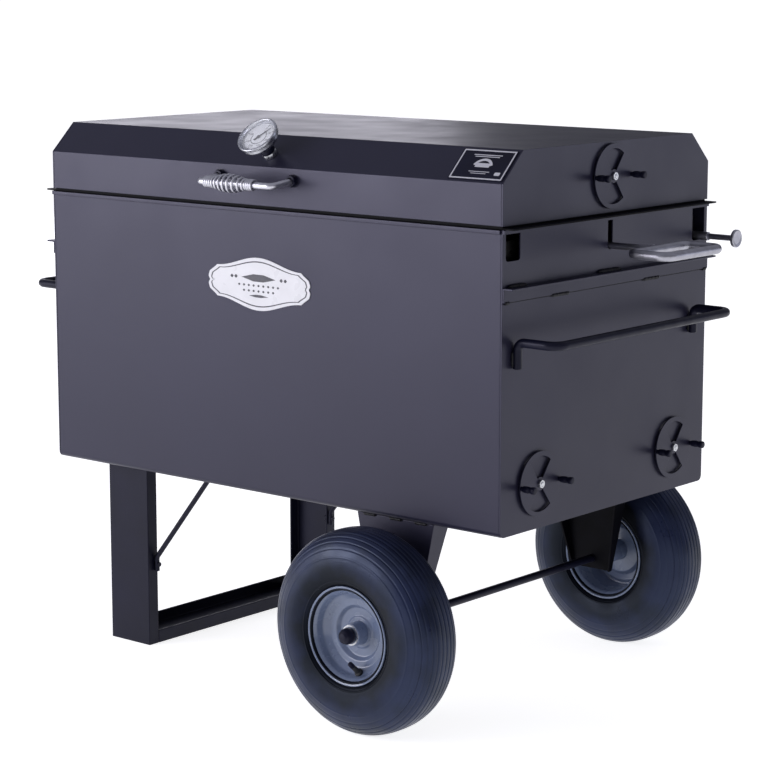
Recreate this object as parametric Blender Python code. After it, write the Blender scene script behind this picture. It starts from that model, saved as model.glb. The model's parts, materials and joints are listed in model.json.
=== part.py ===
"""Charcoal box roaster with a pivoting grate, two pneumatic wheels and a leg frame.

Metres, +Z up.  The firebox is long in X, its front faces -Y and the pull handles of the
grate are on the +X end.  The origin is on the ground, below the centre of the whole object.
Everything is modelled in the firebox's own frame (centre of the box in X and Y, underside
of the box at z = 0) and hung under one empty that lifts it onto its wheels.
"""
import math

import bmesh
import bpy
from mathutils import Matrix, Vector

# ---------------------------------------------------------------- driving dimensions
GAP = 0.0003              # clearance between pieces that touch
SHEET = 0.003             # body and lid sheet

LENGTH = 1.100            # firebox along X
DEPTH = 0.627             # firebox along Y
BOX_HEIGHT = 0.5275       # underside to the lid joint
CLEARANCE = 0.372         # underside of the firebox above the ground
BEND = 0.010              # bend radius of the wrapper's lower corners
HEM = (0.004, 0.007)      # folded hem of the front and end edges: reach and height

LID_BASE = 0.5335         # lower edge of the lid walls
LID_WALL = 0.0710         # straight part of the lid walls
CHAMFER_RISE = 0.054
CHAMFER_RUN = 0.056
LID_RIM_REACH = 0.572     # the lid's rim bar stands out at both ends

RAIL_Z = (0.405, 0.430)   # angle rail across each end wall
RAIL_REACH = 0.0215
RAIL_SHEET = 0.0032

SHAFT_Z = 0.475           # the grate turns about X at this height
SHAFT_RADIUS = 0.0060
ROD_DROP = 0.007          # the lock rod lies this far below the pivot
ROD_Y = 0.285
ROD_RADIUS = 0.0055
SLEEVE_RADIUS = 0.0080
NOTCH_Y = (0.264, 0.3045)
SLOT_HALF = 0.0073

FRAME_HALF_X = 0.530      # pivoting grate frame
FRAME_HALF_Y = 0.2985
FRAME_HEIGHT = 0.060
FRAME_BAR = 0.005
GRATE_BAR = 0.0045

FLIP_X = (0.6500, 0.7265)
FLIP_HALF_Y = 0.085
FLIP_RADIUS = 0.0085
BAR_HANDLE_X = 0.640
BAR_HANDLE_Y = (-0.280, 0.260)
BAR_HANDLE_Z = (0.290, 0.336)
BAR_HANDLE_RADIUS = 0.008

VENT_RADIUS = 0.0575
VENT_LOW = (0.208, 0.080)
VENT_LID_Z = 0.5975
VENT_OPENING = (0.014, 0.046)
VENT_OPENING_HALF_ANGLE = 33
PEG_AT = 0.0545

HINGE_X = 0.505
HINGE_Y = 0.0085          # hinge axis behind the back wall
HINGE_Z = 0.5293
HINGE_HALF_WIDTH = 0.030
HINGE_KNUCKLE = 0.0065
HINGE_PIN = 0.0030

LID_HANDLE_X = (-0.0965, 0.0815)
LID_HANDLE_WALL_Z = 0.583
LID_HANDLE_BAR = (0.373, 0.577)
LID_HANDLE_RADIUS = 0.0058
GRIP_X = (-0.078, 0.041)
GRIP_TURNS = 11
GRIP_WIRE = 0.0023

GAUGE_X = 0.008
GAUGE_ALONG = 0.029       # up the chamfer from its lower edge
GAUGE_RADIUS = 0.0395

AXLE_X = 0.310
AXLE_Z = -0.188
AXLE_RADIUS = 0.0075
WHEEL_Y = 0.387
TYRE_RADIUS = CLEARANCE + AXLE_Z
BRACKET_Y = 0.3045

LEG_X = (-0.479, -0.372)
LEG_Y = (-0.247, 0.3125)
LEG_FLANGE = 0.026
LEG_SHEET = 0.004

COAL_Z = 0.105

HALF_X = LENGTH / 2
HALF_Y = DEPTH / 2
LID_SHOULDER = LID_BASE + LID_WALL
LID_TOP = LID_SHOULDER + CHAMFER_RISE
CHAMFER_TILT = math.atan2(CHAMFER_RISE, CHAMFER_RUN)
HINGE_AT = (0, HALF_Y + HINGE_Y, HINGE_Z)
RIGHT_REACH = FLIP_X[1] + FLIP_RADIUS
LEFT_REACH = BAR_HANDLE_X + BAR_HANDLE_RADIUS
BODY_X = (LEFT_REACH - RIGHT_REACH) / 2


# ---------------------------------------------------------------- scene and materials
def clear_scene():
    for item in list(bpy.data.objects):
        bpy.data.objects.remove(item, do_unlink=True)


def material(name, colour, roughness, metallic=0.0):
    made = bpy.data.materials.new(name)
    made.use_nodes = True
    shader = made.node_tree.nodes["Principled BSDF"]
    shader.inputs["Base Color"].default_value = (*colour, 1)
    shader.inputs["Roughness"].default_value = roughness
    shader.inputs["Metallic"].default_value = metallic
    return made


def add(name, data, paint, at=(0, 0, 0), tilt=0.0):
    """Place a mesh or curve under the body datum, tilted about X."""
    item = bpy.data.objects.new(name, data)
    bpy.context.scene.collection.objects.link(item)
    item.parent = DATUM
    item.location = at
    item.rotation_euler = (tilt, 0, 0)
    data.materials.append(paint)
    return item


def add_solid(name, bm, paint, at=(0, 0, 0), tilt=0.0, smooth=False):
    """Finish a bmesh given in the body's frame and set its origin at a joint axis."""
    bmesh.ops.recalc_face_normals(bm, faces=bm.faces)
    if not tilt:
        bmesh.ops.translate(bm, vec=-Vector(at), verts=bm.verts)
    mesh = bpy.data.meshes.new(name)
    bm.to_mesh(mesh)
    bm.free()
    if smooth:
        mesh.shade_smooth()
        mesh.set_sharp_from_angle(angle=math.radians(40))
    return add(name, mesh, paint, at, tilt)


# ---------------------------------------------------------------- shapes
def on_axis(axis, first, second, along):
    """A point from two coordinates across an axis and one along it."""
    places = {"X": (along, first, second), "Y": (first, along, second), "Z": (first, second, along)}
    return places[axis]


def arc(centre, radius, start, stop, steps):
    """Points on an arc, angles in degrees."""
    turns = [math.radians(start + (stop - start) * i / steps) for i in range(steps + 1)]
    return [(centre[0] + radius * math.cos(a), centre[1] + radius * math.sin(a)) for a in turns]


def circle(centre, radius, steps, phase=0.0):
    return arc(centre, radius, phase, phase + 360, steps)[:-1]


def sector(centre, radii, middle, half_angle, steps=5):
    """A pie piece without its tip."""
    outer = arc(centre, radii[1], middle - half_angle, middle + half_angle, steps)
    inner = arc(centre, radii[0], middle + half_angle, middle - half_angle, 2)
    return outer + inner


def plate(outline, holes, axis, low, high):
    """A flat plate with holes, square to an axis."""
    bm = bmesh.new()
    for loop in [outline, *holes]:
        verts = [bm.verts.new(on_axis(axis, a, b, low)) for a, b in loop]
        for i, vert in enumerate(verts):
            bm.edges.new((vert, verts[i - 1]))
    bmesh.ops.triangle_fill(bm, edges=bm.edges[:], use_beauty=True)
    raised = bmesh.ops.extrude_face_region(bm, geom=bm.faces[:], use_keep_orig=True)
    moved = [item for item in raised["geom"] if isinstance(item, bmesh.types.BMVert)]
    bmesh.ops.translate(bm, vec=on_axis(axis, 0, 0, high - low), verts=moved)
    return bm


def box(low, high):
    outline = [(low[0], low[1]), (high[0], low[1]), (high[0], high[1]), (low[0], high[1])]
    return plate(outline, [], "Z", low[2], high[2])


def turned(profile, axis, centre, segments, closed=False):
    """Spin a profile of (along, radius) points; a closed profile is a ring's section."""
    bm = bmesh.new()
    rings = []
    for along, radius in profile:
        count = segments if radius > 0 else 1
        ring = []
        for i in range(count):
            a = 2 * math.pi * i / segments - math.pi / 2
            spot = Vector(on_axis(axis, radius * math.cos(a), radius * math.sin(a), along))
            ring.append(bm.verts.new(spot + Vector(centre)))
        rings.append(ring)
    spans = list(zip(rings, rings[1:]))
    if closed:
        spans.append((rings[-1], rings[0]))
    for one, two in spans:
        for i in range(segments):
            j = (i + 1) % segments
            corners = [one[i % len(one)], one[j % len(one)], two[j % len(two)], two[i % len(two)]]
            unique = list(dict.fromkeys(corners))
            if len(unique) > 2:
                bm.faces.new(unique)
    return bm


def around(radius, segments):
    """Corner radius of a polygon whose sides touch a circle from outside."""
    return radius / math.cos(math.pi / segments)


def pin(axis, centre, radius, low, high, segments=10):
    """A plain round bar."""
    profile = [(low, 0), (low, radius), (high, radius), (high, 0)]
    return turned(profile, axis, centre, segments)


def washer(axis, centre, bore, radius, low, high, segments=10, outer_segments=None):
    """A ring, or a hex nut when it has six outer segments."""
    outline = circle((0, 0), radius, outer_segments or segments)
    bm = plate(outline, [circle((0, 0), around(bore, segments), segments)], axis, low, high)
    bmesh.ops.translate(bm, vec=Vector(centre), verts=bm.verts)
    return bm


def combine(first, second, operation):
    """Boolean of two bmeshes."""
    pair = []
    for bm in (first, second):
        bmesh.ops.recalc_face_normals(bm, faces=bm.faces)
        mesh = bpy.data.meshes.new("operand")
        bm.to_mesh(mesh)
        bm.free()
        item = bpy.data.objects.new("operand", mesh)
        bpy.context.scene.collection.objects.link(item)
        pair.append(item)
    step = pair[0].modifiers.new("boolean", "BOOLEAN")
    step.operation = operation
    step.object = pair[1]
    graph = bpy.context.evaluated_depsgraph_get()
    result = bpy.data.meshes.new_from_object(pair[0].evaluated_get(graph))
    bm = bmesh.new()
    bm.from_mesh(result)
    for item in pair:
        bpy.data.objects.remove(item, do_unlink=True)
    return bm


def drill(bm, axis, centre, radius, low, high):
    return combine(bm, pin(axis, centre, around(radius, 12), low, high, 12), "DIFFERENCE")


def join(first, *others):
    for other in others:
        first = combine(first, other, "UNION")
    return first


def rounded_path(corners, radii, steps=4):
    """A polyline through 3D corners, each inner corner turned into an arc."""
    corners = [Vector(c) for c in corners]
    path = [corners[0]]
    for before, corner, after, radius in zip(corners, corners[1:], corners[2:], radii):
        back = (before - corner).normalized()
        ahead = (after - corner).normalized()
        half = back.angle(ahead) / 2
        setback = radius / math.tan(half)
        centre = corner + (back + ahead).normalized() * radius / math.sin(half)
        start = corner + back * setback - centre
        stop = corner + ahead * setback - centre
        turn = start.angle(stop)
        for i in range(steps + 1):
            share = i / steps
            left = math.sin((1 - share) * turn) / math.sin(turn)
            right = math.sin(share * turn) / math.sin(turn)
            path.append(centre + start * left + stop * right)
    path.append(corners[-1])
    return path


def add_rod(name, points, radius, paint, at=(0, 0, 0), closed=False, sides=8):
    """A bent round bar as a bevelled curve."""
    curve = bpy.data.curves.new(name, "CURVE")
    curve.dimensions = "3D"
    curve.bevel_depth = radius
    curve.bevel_resolution = (sides - 4) // 2
    curve.use_fill_caps = not closed
    spline = curve.splines.new("POLY")
    spline.points.add(len(points) - 1)
    for spot, point in zip(spline.points, points):
        spot.co = (*(Vector(point) - Vector(at)), 1)
    spline.use_cyclic_u = closed
    return add(name, curve, paint, at)


def offset_outline(path, thickness):
    """Close an open bent line into the outline of a sheet, thickened to its left."""
    points = [Vector(p) for p in path]
    inner = []
    for i, point in enumerate(points):
        normals = []
        for a, b in ((i - 1, i), (i, i + 1)):
            if 0 <= a and b < len(points):
                run = (points[b] - points[a]).normalized()
                normals.append(Vector((-run.y, run.x)))
        mean = sum(normals, Vector((0, 0))).normalized()
        inner.append(point + mean * thickness / mean.dot(normals[0]))
    return [tuple(p) for p in points] + [tuple(p) for p in reversed(inner)]


def slotted(half_x, half_y, edge, slots, bar, low, high):
    """A grate: edge bars all round and cross bars with slots between them."""
    pitch = (2 * (half_x - edge) + bar) / slots
    holes = []
    for i in range(slots):
        left = -half_x + edge + i * pitch
        right = left + pitch - bar
        holes.append([(left, edge - half_y), (right, edge - half_y),
                      (right, half_y - edge), (left, half_y - edge)])
    outline = [(-half_x, -half_y), (half_x, -half_y), (half_x, half_y), (-half_x, half_y)]
    return plate(outline, holes, "Z", low, high)


def end_span(side, near, far):
    """Low and high X of a layer between two distances outside an end wall."""
    return sorted((side * (HALF_X + near), side * (HALF_X + far)))


# ---------------------------------------------------------------- firebox
def body_shell():
    corner_low = arc((BEND - HALF_Y, BEND), BEND, 180, 270, 3)
    corner_high = arc((HALF_Y - BEND, BEND), BEND, 270, 360, 3)
    path = [(-HALF_Y, BOX_HEIGHT), *corner_low, *corner_high, (HALF_Y, BOX_HEIGHT)]
    outline = offset_outline(path, SHEET)
    reach, height = HEM
    lip = [(-HALF_Y, BOX_HEIGHT - height), (-HALF_Y - reach, BOX_HEIGHT - height),
           (-HALF_Y - reach, BOX_HEIGHT)]
    half = HALF_X - SHEET - GAP
    add_solid("body_shell", plate(lip[::-1] + outline[1:], [], "X", -half, half), PAINT)


def notch(centre, half, bottom, radius):
    """An open-topped notch's edge, from low Y to high Y."""
    left = arc((centre - half + radius, bottom + radius), radius, 180, 270, 3)
    right = arc((centre + half - radius, bottom + radius), radius, 270, 360, 3)
    return [(centre - half, BOX_HEIGHT), *left, *right, (centre + half, BOX_HEIGHT)]


def vent_holes(y, z):
    holes = [circle((y, z), 0.0045, 10)]
    for middle in (0, 180):
        holes.append(sector((y, z), VENT_OPENING, middle, VENT_OPENING_HALF_ANGLE))
    return holes


def end_walls():
    """Only the right end has the two lock notches, because the lock works at that end."""
    rest = SLEEVE_RADIUS + GAP
    middle = sum(NOTCH_Y) / 2
    half = (NOTCH_Y[1] - NOTCH_Y[0]) / 2
    front = notch(-middle, half, SHAFT_Z + ROD_DROP - rest, 0.006)
    slot = notch(0, SLOT_HALF, SHAFT_Z - SLOT_HALF, SLOT_HALF - 0.0001)
    back = notch(middle, half, SHAFT_Z - ROD_DROP - rest, 0.006)
    lower = arc((HALF_Y - BEND, BEND), BEND, 0, -90, 3) + arc((BEND - HALF_Y, BEND), BEND, 270, 180, 3)
    cuts = {"right": [*front, *slot, *back], "left": slot}
    holes = vent_holes(-VENT_LOW[0], VENT_LOW[1]) + vent_holes(*VENT_LOW)
    reach, height = HEM
    for side, name in SIDES:
        outline = [(-HALF_Y, BOX_HEIGHT), *cuts[name], (HALF_Y, BOX_HEIGHT), *lower]
        wall = plate(outline, holes, "X", *end_span(side, -SHEET, 0))
        low, high = end_span(side, -0.001, reach)
        lip = box((low, -HALF_Y, BOX_HEIGHT - height), (high, HALF_Y, BOX_HEIGHT))
        add_solid(f"end_wall_{name}", combine(wall, lip, "UNION"), PAINT)


def end_rails():
    low, high = RAIL_Z
    for side, name in SIDES:
        inner = side * (HALF_X + GAP)
        face = side * (HALF_X + GAP + RAIL_SHEET)
        tip = side * (HALF_X + RAIL_REACH)
        shelf = high - RAIL_SHEET
        outline = [(inner, low), (face, low), (face, shelf), (tip, shelf), (tip, high), (inner, high)]
        add_solid(f"end_rail_{name}", plate(outline, [], "Y", -HALF_Y, HALF_Y), PAINT)


def bar_handles():
    for side, name in SIDES:
        wall = side * (HALF_X + GAP + BAR_HANDLE_RADIUS)
        out = side * BAR_HANDLE_X
        low, high = BAR_HANDLE_Z
        front, back = BAR_HANDLE_Y
        corners = [(wall, front, low), (wall, front, high), (out, front, high),
                   (out, back, high), (wall, back, high), (wall, back, low)]
        path = rounded_path(corners, (0.014, 0.024, 0.024, 0.014))
        add_rod(f"bar_handle_{name}", path, BAR_HANDLE_RADIUS, BLACK)


def charcoal_grate():
    """Flat and slotted, tacked along its edges to the walls around it."""
    fit = SHEET + GAP
    grate = slotted(HALF_X - fit, HALF_Y - fit, 0.014, 16, 0.014, COAL_Z, COAL_Z + 0.006)
    add_solid("charcoal_grate", grate, RAW_STEEL)


def front_plaque():
    """A plain ornamental plate: arched top and bottom between two stepped ends."""
    half, ear, rise = 0.098, 0.0285, 0.020
    sag = (half ** 2 - rise ** 2) / (2 * rise)
    spread = math.degrees(math.asin(half / (sag + rise)))
    top = arc((0, 0.0285 - sag), sag + rise, 90 - spread, 90 + spread, 10)
    right = [(0.1265, -0.010), (0.1180, 0.004), (0.1265, 0.018), (0.112, ear)]
    left = [(-a, b) for a, b in reversed(right)]
    bottom = [(a, -b) for a, b in arc((0, 0.0285 - sag), sag + rise, 90 + spread, 90 - spread, 10)]
    outline = [(a - 0.0045, b + 0.390) for a, b in [*right, *top, *left, *bottom]]
    low = -HALF_Y - GAP - 0.0015
    add_solid("front_plaque", plate(outline, [], "Y", low, low + 0.0015), WHITE)


# ---------------------------------------------------------------- lid
def lid_section():
    return [(-HALF_Y, LID_BASE), (-HALF_Y, LID_SHOULDER), (CHAMFER_RUN - HALF_Y, LID_TOP),
            (HALF_Y - CHAMFER_RUN, LID_TOP), (HALF_Y, LID_SHOULDER), (HALF_Y, LID_BASE)]


def lid_panels():
    half = HALF_X - SHEET - GAP
    shell = plate(offset_outline(lid_section(), -SHEET), [], "X", -half, half)
    cutter = pin("Z", (0, 0, 0), 0.0064, -0.02, 0.02)
    bmesh.ops.transform(cutter, matrix=gauge_matrix(), verts=cutter.verts)
    add_solid("lid_shell", combine(shell, cutter, "DIFFERENCE"), PAINT, HINGE_AT)
    for side, name in SIDES:
        end = plate(lid_section(), vent_holes(0, VENT_LID_Z), "X", *end_span(side, -SHEET, 0))
        add_solid(f"lid_end_{name}", end, PAINT, HINGE_AT)
    fit = SHEET + GAP
    rims = [(LID_RIM_REACH, HALF_Y - fit), (HALF_X - 0.012, HALF_Y - 0.010), (HALF_X - fit, HALF_Y - fit)]
    flange, inside, collar = ([(-a, -b), (a, -b), (a, b), (-a, b)] for a, b in rims)
    base = BOX_HEIGHT + GAP
    rim = combine(plate(flange, [inside], "Z", base, base + SHEET),
                  plate(collar, [inside], "Z", base + 0.001, LID_BASE + 0.004), "UNION")
    add_solid("lid_rim", rim, PAINT, HINGE_AT)


def hinges():
    """Two butt hinges; the body's leaf holds the pin and the outer knuckles, the lid's the middle one."""
    low = HALF_Y + GAP
    for side, name in SIDES:
        x = side * HINGE_X
        half = HINGE_HALF_WIDTH
        inner = 0.014
        tab, flat = HINGE_Z - GAP, HINGE_Z - 0.008
        outline = [(x - half, 0.500), (x + half, 0.500), (x + half, tab), (x + inner, tab),
                   (x + inner, flat), (x - inner, flat), (x - inner, tab), (x - half, tab)]
        ends = [pin("X", HINGE_AT, HINGE_KNUCKLE, x + a, x + b, 12) for a, b in ((-half, -inner), (inner, half))]
        leaf = plate(outline, [], "Y", low, low + 0.003)
        leaf = join(leaf, *ends, pin("X", HINGE_AT, HINGE_PIN, x - half - 0.002, x + half + 0.002))
        add_solid(f"hinge_leaf_body_{name}", leaf, BLACK)
        tab, flat = HINGE_Z + GAP, HINGE_Z + 0.008
        edge = inner - 0.0004
        outline = [(x - half, flat), (x - edge, flat), (x - edge, tab), (x + edge, tab),
                   (x + edge, flat), (x + half, flat), (x + half, 0.556), (x - half, 0.556)]
        middle = washer("X", HINGE_AT, HINGE_PIN + GAP, HINGE_KNUCKLE, x - edge, x + edge, 12)
        leaf = combine(plate(outline, [], "Y", low, low + 0.003), middle, "UNION")
        add_solid(f"hinge_leaf_lid_{name}", leaf, BLACK, HINGE_AT)


def lid_handle():
    bar_y, bar_z = LID_HANDLE_BAR
    wall = -HALF_Y - GAP
    left, right = LID_HANDLE_X
    start = wall - 0.001
    corners = [(left, start, LID_HANDLE_WALL_Z), (left, -bar_y, bar_z),
               (right, -bar_y, bar_z), (right, start, LID_HANDLE_WALL_Z)]
    add_rod("lid_handle_rod", rounded_path(corners, (0.010, 0.010)), LID_HANDLE_RADIUS, STAINLESS, HINGE_AT)
    for x, name in ((right, "right"), (left, "left")):
        centre = (x, 0, LID_HANDLE_WALL_Z)
        nut = washer("Y", centre, 0.0072, 0.0115, wall - 0.010, wall, 10, 6)
        add_solid(f"lid_handle_nut_{name}", nut, BLACK, HINGE_AT)
    coil = []
    steps = GRIP_TURNS * 12
    for i in range(steps + 1):
        share = i / steps
        swell = math.sin(math.pi * min(max((share - 0.12) / 0.76, 0), 1))
        radius = 0.0088 + 0.0066 * swell ** 1.3
        turn = 2 * math.pi * GRIP_TURNS * share
        x = GRIP_X[0] + (GRIP_X[1] - GRIP_X[0]) * share
        coil.append((x, radius * math.cos(turn) - bar_y, radius * math.sin(turn) + bar_z))
    add_rod("grip_spring", coil, GRIP_WIRE, STAINLESS, HINGE_AT, sides=4)


def gauge_matrix():
    along = GAUGE_ALONG
    spot = (GAUGE_X, along * math.cos(CHAMFER_TILT) - HALF_Y, along * math.sin(CHAMFER_TILT) + LID_SHOULDER)
    return Matrix.Translation(spot) @ Matrix.Rotation(CHAMFER_TILT, 4, "X")


def gauge():
    """Dial thermometer, square to the front chamfer; its own Z is the dial's axis."""
    at = gauge_matrix().translation
    place = {"at": at, "tilt": CHAMFER_TILT}
    rim = GAUGE_RADIUS
    stem = [(-0.095, 0), (-0.095, 0.0030), (-0.006, 0.0030), (-0.006, 0.0060),
            (0.0003, 0.0060), (0.0003, 0.0125), (0.008, 0.0125), (0.008, 0.0075), (0.014, 0.0075),
            (0.014, 0.0110), (0.022, 0.0110), (0.022, 0.0080), (0.0347, 0.0080), (0.0347, 0)]
    add_solid("gauge_stem", turned(stem, "Z", (0, 0, 0), 12), BLACK, smooth=True, **place)
    case = [(0.035, 0), (0.035, rim - 0.006), (0.041, rim - 0.002), (0.047, rim - 0.002),
            (0.049, rim), (0.0535, rim), (0.0545, rim - 0.003), (0.0485, rim - 0.003),
            (0.0485, rim - 0.005), (0.037, rim - 0.007), (0.037, 0)]
    add_solid("gauge_case", turned(case, "Z", (0, 0, 0), 32), STAINLESS, smooth=True, **place)
    dial = pin("Z", (0, 0, 0), rim - 0.0061, 0.0452, 0.0465, 24)
    add_solid("gauge_dial", dial, WHITE, **place)
    pointer = plate([(-0.0022, -0.010), (0.0022, -0.010), (0.0006, 0.0275), (-0.0006, 0.0275)], [], "Z",
                    0.0472, 0.0480)
    pointer = combine(pointer, pin("Z", (0, 0, 0), 0.0035, 0.0467, 0.0486), "UNION")
    bmesh.ops.rotate(pointer, matrix=Matrix.Rotation(math.radians(-35), 3, "Z"), verts=pointer.verts)
    add_solid("gauge_pointer", pointer, BLACK, **place)
    glass = pin("Z", (0, 0, 0), rim - 0.0034, 0.0490, 0.0506, 24)
    add_solid("gauge_glass", glass, GLASS, **place)


def label_plate():
    along = 0.0385
    middle = (0.487, along * math.cos(CHAMFER_TILT) - HALF_Y, along * math.sin(CHAMFER_TILT) + LID_SHOULDER)
    sheet = box((-0.058, -0.034, GAP), (0.058, 0.034, GAP + 0.001))
    add_solid("label_plate", sheet, BLACK, middle, CHAMFER_TILT)


# ---------------------------------------------------------------- rotary air vents
def vents():
    low_y, low_z = VENT_LOW
    places = [("front", -low_y, low_z), ("rear", low_y, low_z), ("lid", 0, VENT_LID_Z)]
    for side, name in SIDES:
        for spot, y, z in places:
            at = (side * HALF_X, y, z)
            cuts = [sector((y, z), (0.012, 0.049), middle, 37, 6) for middle in (90, 270)]
            disc = plate(circle((y, z), VENT_RADIUS, 32), [circle((y, z), 0.0045, 10), *cuts], "X",
                         *end_span(side, 0.0035, 0.0060))
            pegs = [turned(peg_profile(side), "X", (0, y + a, z), 8) for a in (-PEG_AT, PEG_AT)]
            add_solid(f"vent_damper_{name}_{spot}", join(disc, *pegs), PAINT, at)
            pivot = turned(vent_pivot_profile(side), "X", (0, y, z), 10)
            add_solid(f"vent_bolt_{name}_{spot}", pivot, ZINC, HINGE_AT if spot == "lid" else (0, 0, 0))


def peg_profile(side):
    """Turned grip rooted in the disc."""
    shape = [(0.0045, 0), (0.0045, 0.0036), (0.009, 0.0036), (0.013, 0.0056), (0.020, 0.0062),
             (0.026, 0.0050), (0.030, 0.0066), (0.035, 0.0058), (0.036, 0)]
    return [(side * (HALF_X + a), r) for a, r in shape]


def vent_pivot_profile(side):
    """Bolt with its head inside, a shoulder behind the disc and a nut in front of it."""
    shape = [(-0.0058, 0), (-0.0058, 0.0040), (-0.0048, 0.0080), (-0.0033, 0.0080), (-0.0033, 0.0040),
             (GAP, 0.0040), (GAP, 0.0095), (0.0032, 0.0095), (0.0032, 0.0040), (0.0063, 0.0040),
             (0.0063, 0.0078), (0.0106, 0.0078), (0.0106, 0.0040), (0.0118, 0.0040), (0.0118, 0)]
    return [(side * (HALF_X + a), r) for a, r in shape]


# ---------------------------------------------------------------- pivoting grate
def pivoting_grate():
    at = (0, 0, SHAFT_Z)
    half_x, half_y, bar = FRAME_HALF_X, FRAME_HALF_Y, FRAME_BAR
    low, high = SHAFT_Z - FRAME_HEIGHT / 2, SHAFT_Z + FRAME_HEIGHT / 2
    loops = [[(-a, -b), (a, -b), (a, b), (-a, b)]
             for a, b in ((half_x, half_y), (half_x - bar, half_y - bar))]
    rod_z = SHAFT_Z - ROD_DROP
    ring = plate(loops[0], loops[1:], "Z", low, high)
    ring = drill(ring, "X", (0, ROD_Y, rod_z), ROD_RADIUS + GAP, half_x - 0.02, half_x + 0.02)
    ring = join(ring, pin("X", at, SHAFT_RADIUS, -HALF_X - 0.015, -half_x + bar / 2))
    add_solid("grate_frame", ring, STAINLESS, at)
    inside = (half_x - bar - GAP, half_y - bar - GAP)
    hinge = (0, inside[1], high)
    for name, base, origin in (("lower_grate", low, at), ("upper_grate", high - GRATE_BAR, hinge)):
        grid = slotted(*inside, 0.010, 24, 0.006, base, base + GRATE_BAR)
        add_solid(name, grid, STAINLESS, origin)
    shaft = pin("X", at, SHAFT_RADIUS, half_x + GAP, FLIP_X[0] - FLIP_RADIUS - GAP)
    add_solid("pivot_shaft", shaft, STAINLESS, at, smooth=True)
    sleeve = washer("X", (0, ROD_Y, rod_z), ROD_RADIUS + GAP, SLEEVE_RADIUS, half_x + GAP, HALF_X + 0.023, 12)
    add_solid("lock_sleeve", sleeve, STAINLESS, at, smooth=True)
    near, far = FLIP_X
    half = FLIP_HALF_Y
    corners = [(near, 0, SHAFT_Z), (near, -half, SHAFT_Z), (far, -half, SHAFT_Z),
               (far, half, SHAFT_Z), (near, half, SHAFT_Z), (near, 0, SHAFT_Z)]
    loop = rounded_path(corners, (0.016, 0.020, 0.020, 0.016))[:-1]
    add_rod("flip_handle", loop, FLIP_RADIUS, STAINLESS, at, closed=True)
    rod = [(0.480, 0), (0.480, ROD_RADIUS), (0.6275, ROD_RADIUS), (0.6275, 0.0150), (0.6290, 0.0165),
           (0.6335, 0.0165), (0.6350, 0.0150), (0.6350, 0)]
    add_solid("lock_rod", turned(rod, "X", (0, ROD_Y, rod_z), 12), STAINLESS, (0, ROD_Y, rod_z), smooth=True)


# ---------------------------------------------------------------- running gear
def rim_section():
    """Stepped disc rim with its hub tube, as (outboard, radius) points."""
    return [(-0.050, 0.0080), (0.040, 0.0080), (0.040, 0.0200), (0.012, 0.0215), (0.012, 0.042),
            (0.019, 0.048), (0.019, 0.062), (0.027, 0.070), (0.0445, 0.0745), (0.0480, 0.0860),
            (0.0510, 0.0885), (0.0475, 0.0885), (0.0435, 0.0785), (-0.0435, 0.0785), (-0.0475, 0.0885),
            (-0.0510, 0.0885), (-0.0450, 0.0752), (0.0215, 0.0735), (0.0150, 0.0640), (0.0150, 0.0510),
            (0.0080, 0.0450), (0.0080, 0.0200), (-0.050, 0.0200)]


def tyre_section():
    half = [(0.016, TYRE_RADIUS - 0.0010), (0.032, 0.1780), (0.045, 0.1650), (0.0535, 0.1470),
            (0.0570, 0.1260), (0.0545, 0.1060), (0.0520, 0.0945), (0.0465, 0.0895), (0.0425, 0.0790)]
    mirrored = [(-t, r) for t, r in reversed(half)]
    return [(0, TYRE_RADIUS), *half, *mirrored]


def wheels():
    for side, name in ((-1, "front"), (1, "rear")):
        at = (AXLE_X, side * WHEEL_Y, AXLE_Z)
        tyre = [(side * t, r) for t, r in tyre_section()]
        add_solid(f"tyre_{name}", turned(tyre, "Y", at, 32, closed=True), RUBBER, at, smooth=True)
        rim = [(side * t, r) for t, r in rim_section()]
        add_solid(f"rim_{name}", turned(rim, "Y", at, 24, closed=True), RIM_GREY, at, smooth=True)


def axle():
    centre = (AXLE_X, 0, AXLE_Z)
    tip = WHEEL_Y + 0.0525
    add_solid("axle", pin("Y", centre, AXLE_RADIUS, -tip, tip, 12), BLACK, smooth=True)
    cap = [(0.0405, 0.0078), (0.0405, 0.0135), (0.050, 0.0145), (0.057, 0.0115), (0.062, 0.0050),
           (0.062, 0), (0.0528, 0), (0.0528, 0.0078)]
    for side, name in ((-1, "front"), (1, "rear")):
        shape = [(side * (WHEEL_Y + t), r) for t, r in cap]
        add_solid(f"axle_cap_{name}", turned(shape, "Y", centre, 12, closed=True), BLACK, smooth=True)


def axle_brackets():
    """Tapered plates with edge flanges folded inwards, deep at the top and fading below."""
    top_half, low_half = 0.088, 0.045
    low_z = -0.208
    deep, shallow = 0.045, 0.010
    thick = 0.004
    for side, name in ((-1, "front"), (1, "rear")):
        outer = side * BRACKET_Y
        corners = [(AXLE_X - top_half, -GAP), (AXLE_X - low_half, low_z), (AXLE_X + low_half, low_z),
                   (AXLE_X + top_half, -GAP)]
        span = sorted((outer, outer - side * thick))
        bracket = plate(corners, [], "Y", *span)
        for hand in (-1, 1):
            bm = bmesh.new()
            for inset in (0, thick):
                for half, z, depth in ((top_half, -GAP, deep), (low_half, low_z, shallow)):
                    x = AXLE_X + hand * (half - inset)
                    bm.verts.new((x, outer, z))
                    bm.verts.new((x, outer - side * depth, z))
            bmesh.ops.convex_hull(bm, input=bm.verts[:])
            bracket = combine(bracket, bm, "UNION")
        bracket = drill(bracket, "Y", (AXLE_X, 0, AXLE_Z), AXLE_RADIUS + GAP, *sorted((0, side * 0.35)))
        add_solid(f"axle_bracket_{name}", bracket, BLACK)


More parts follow.
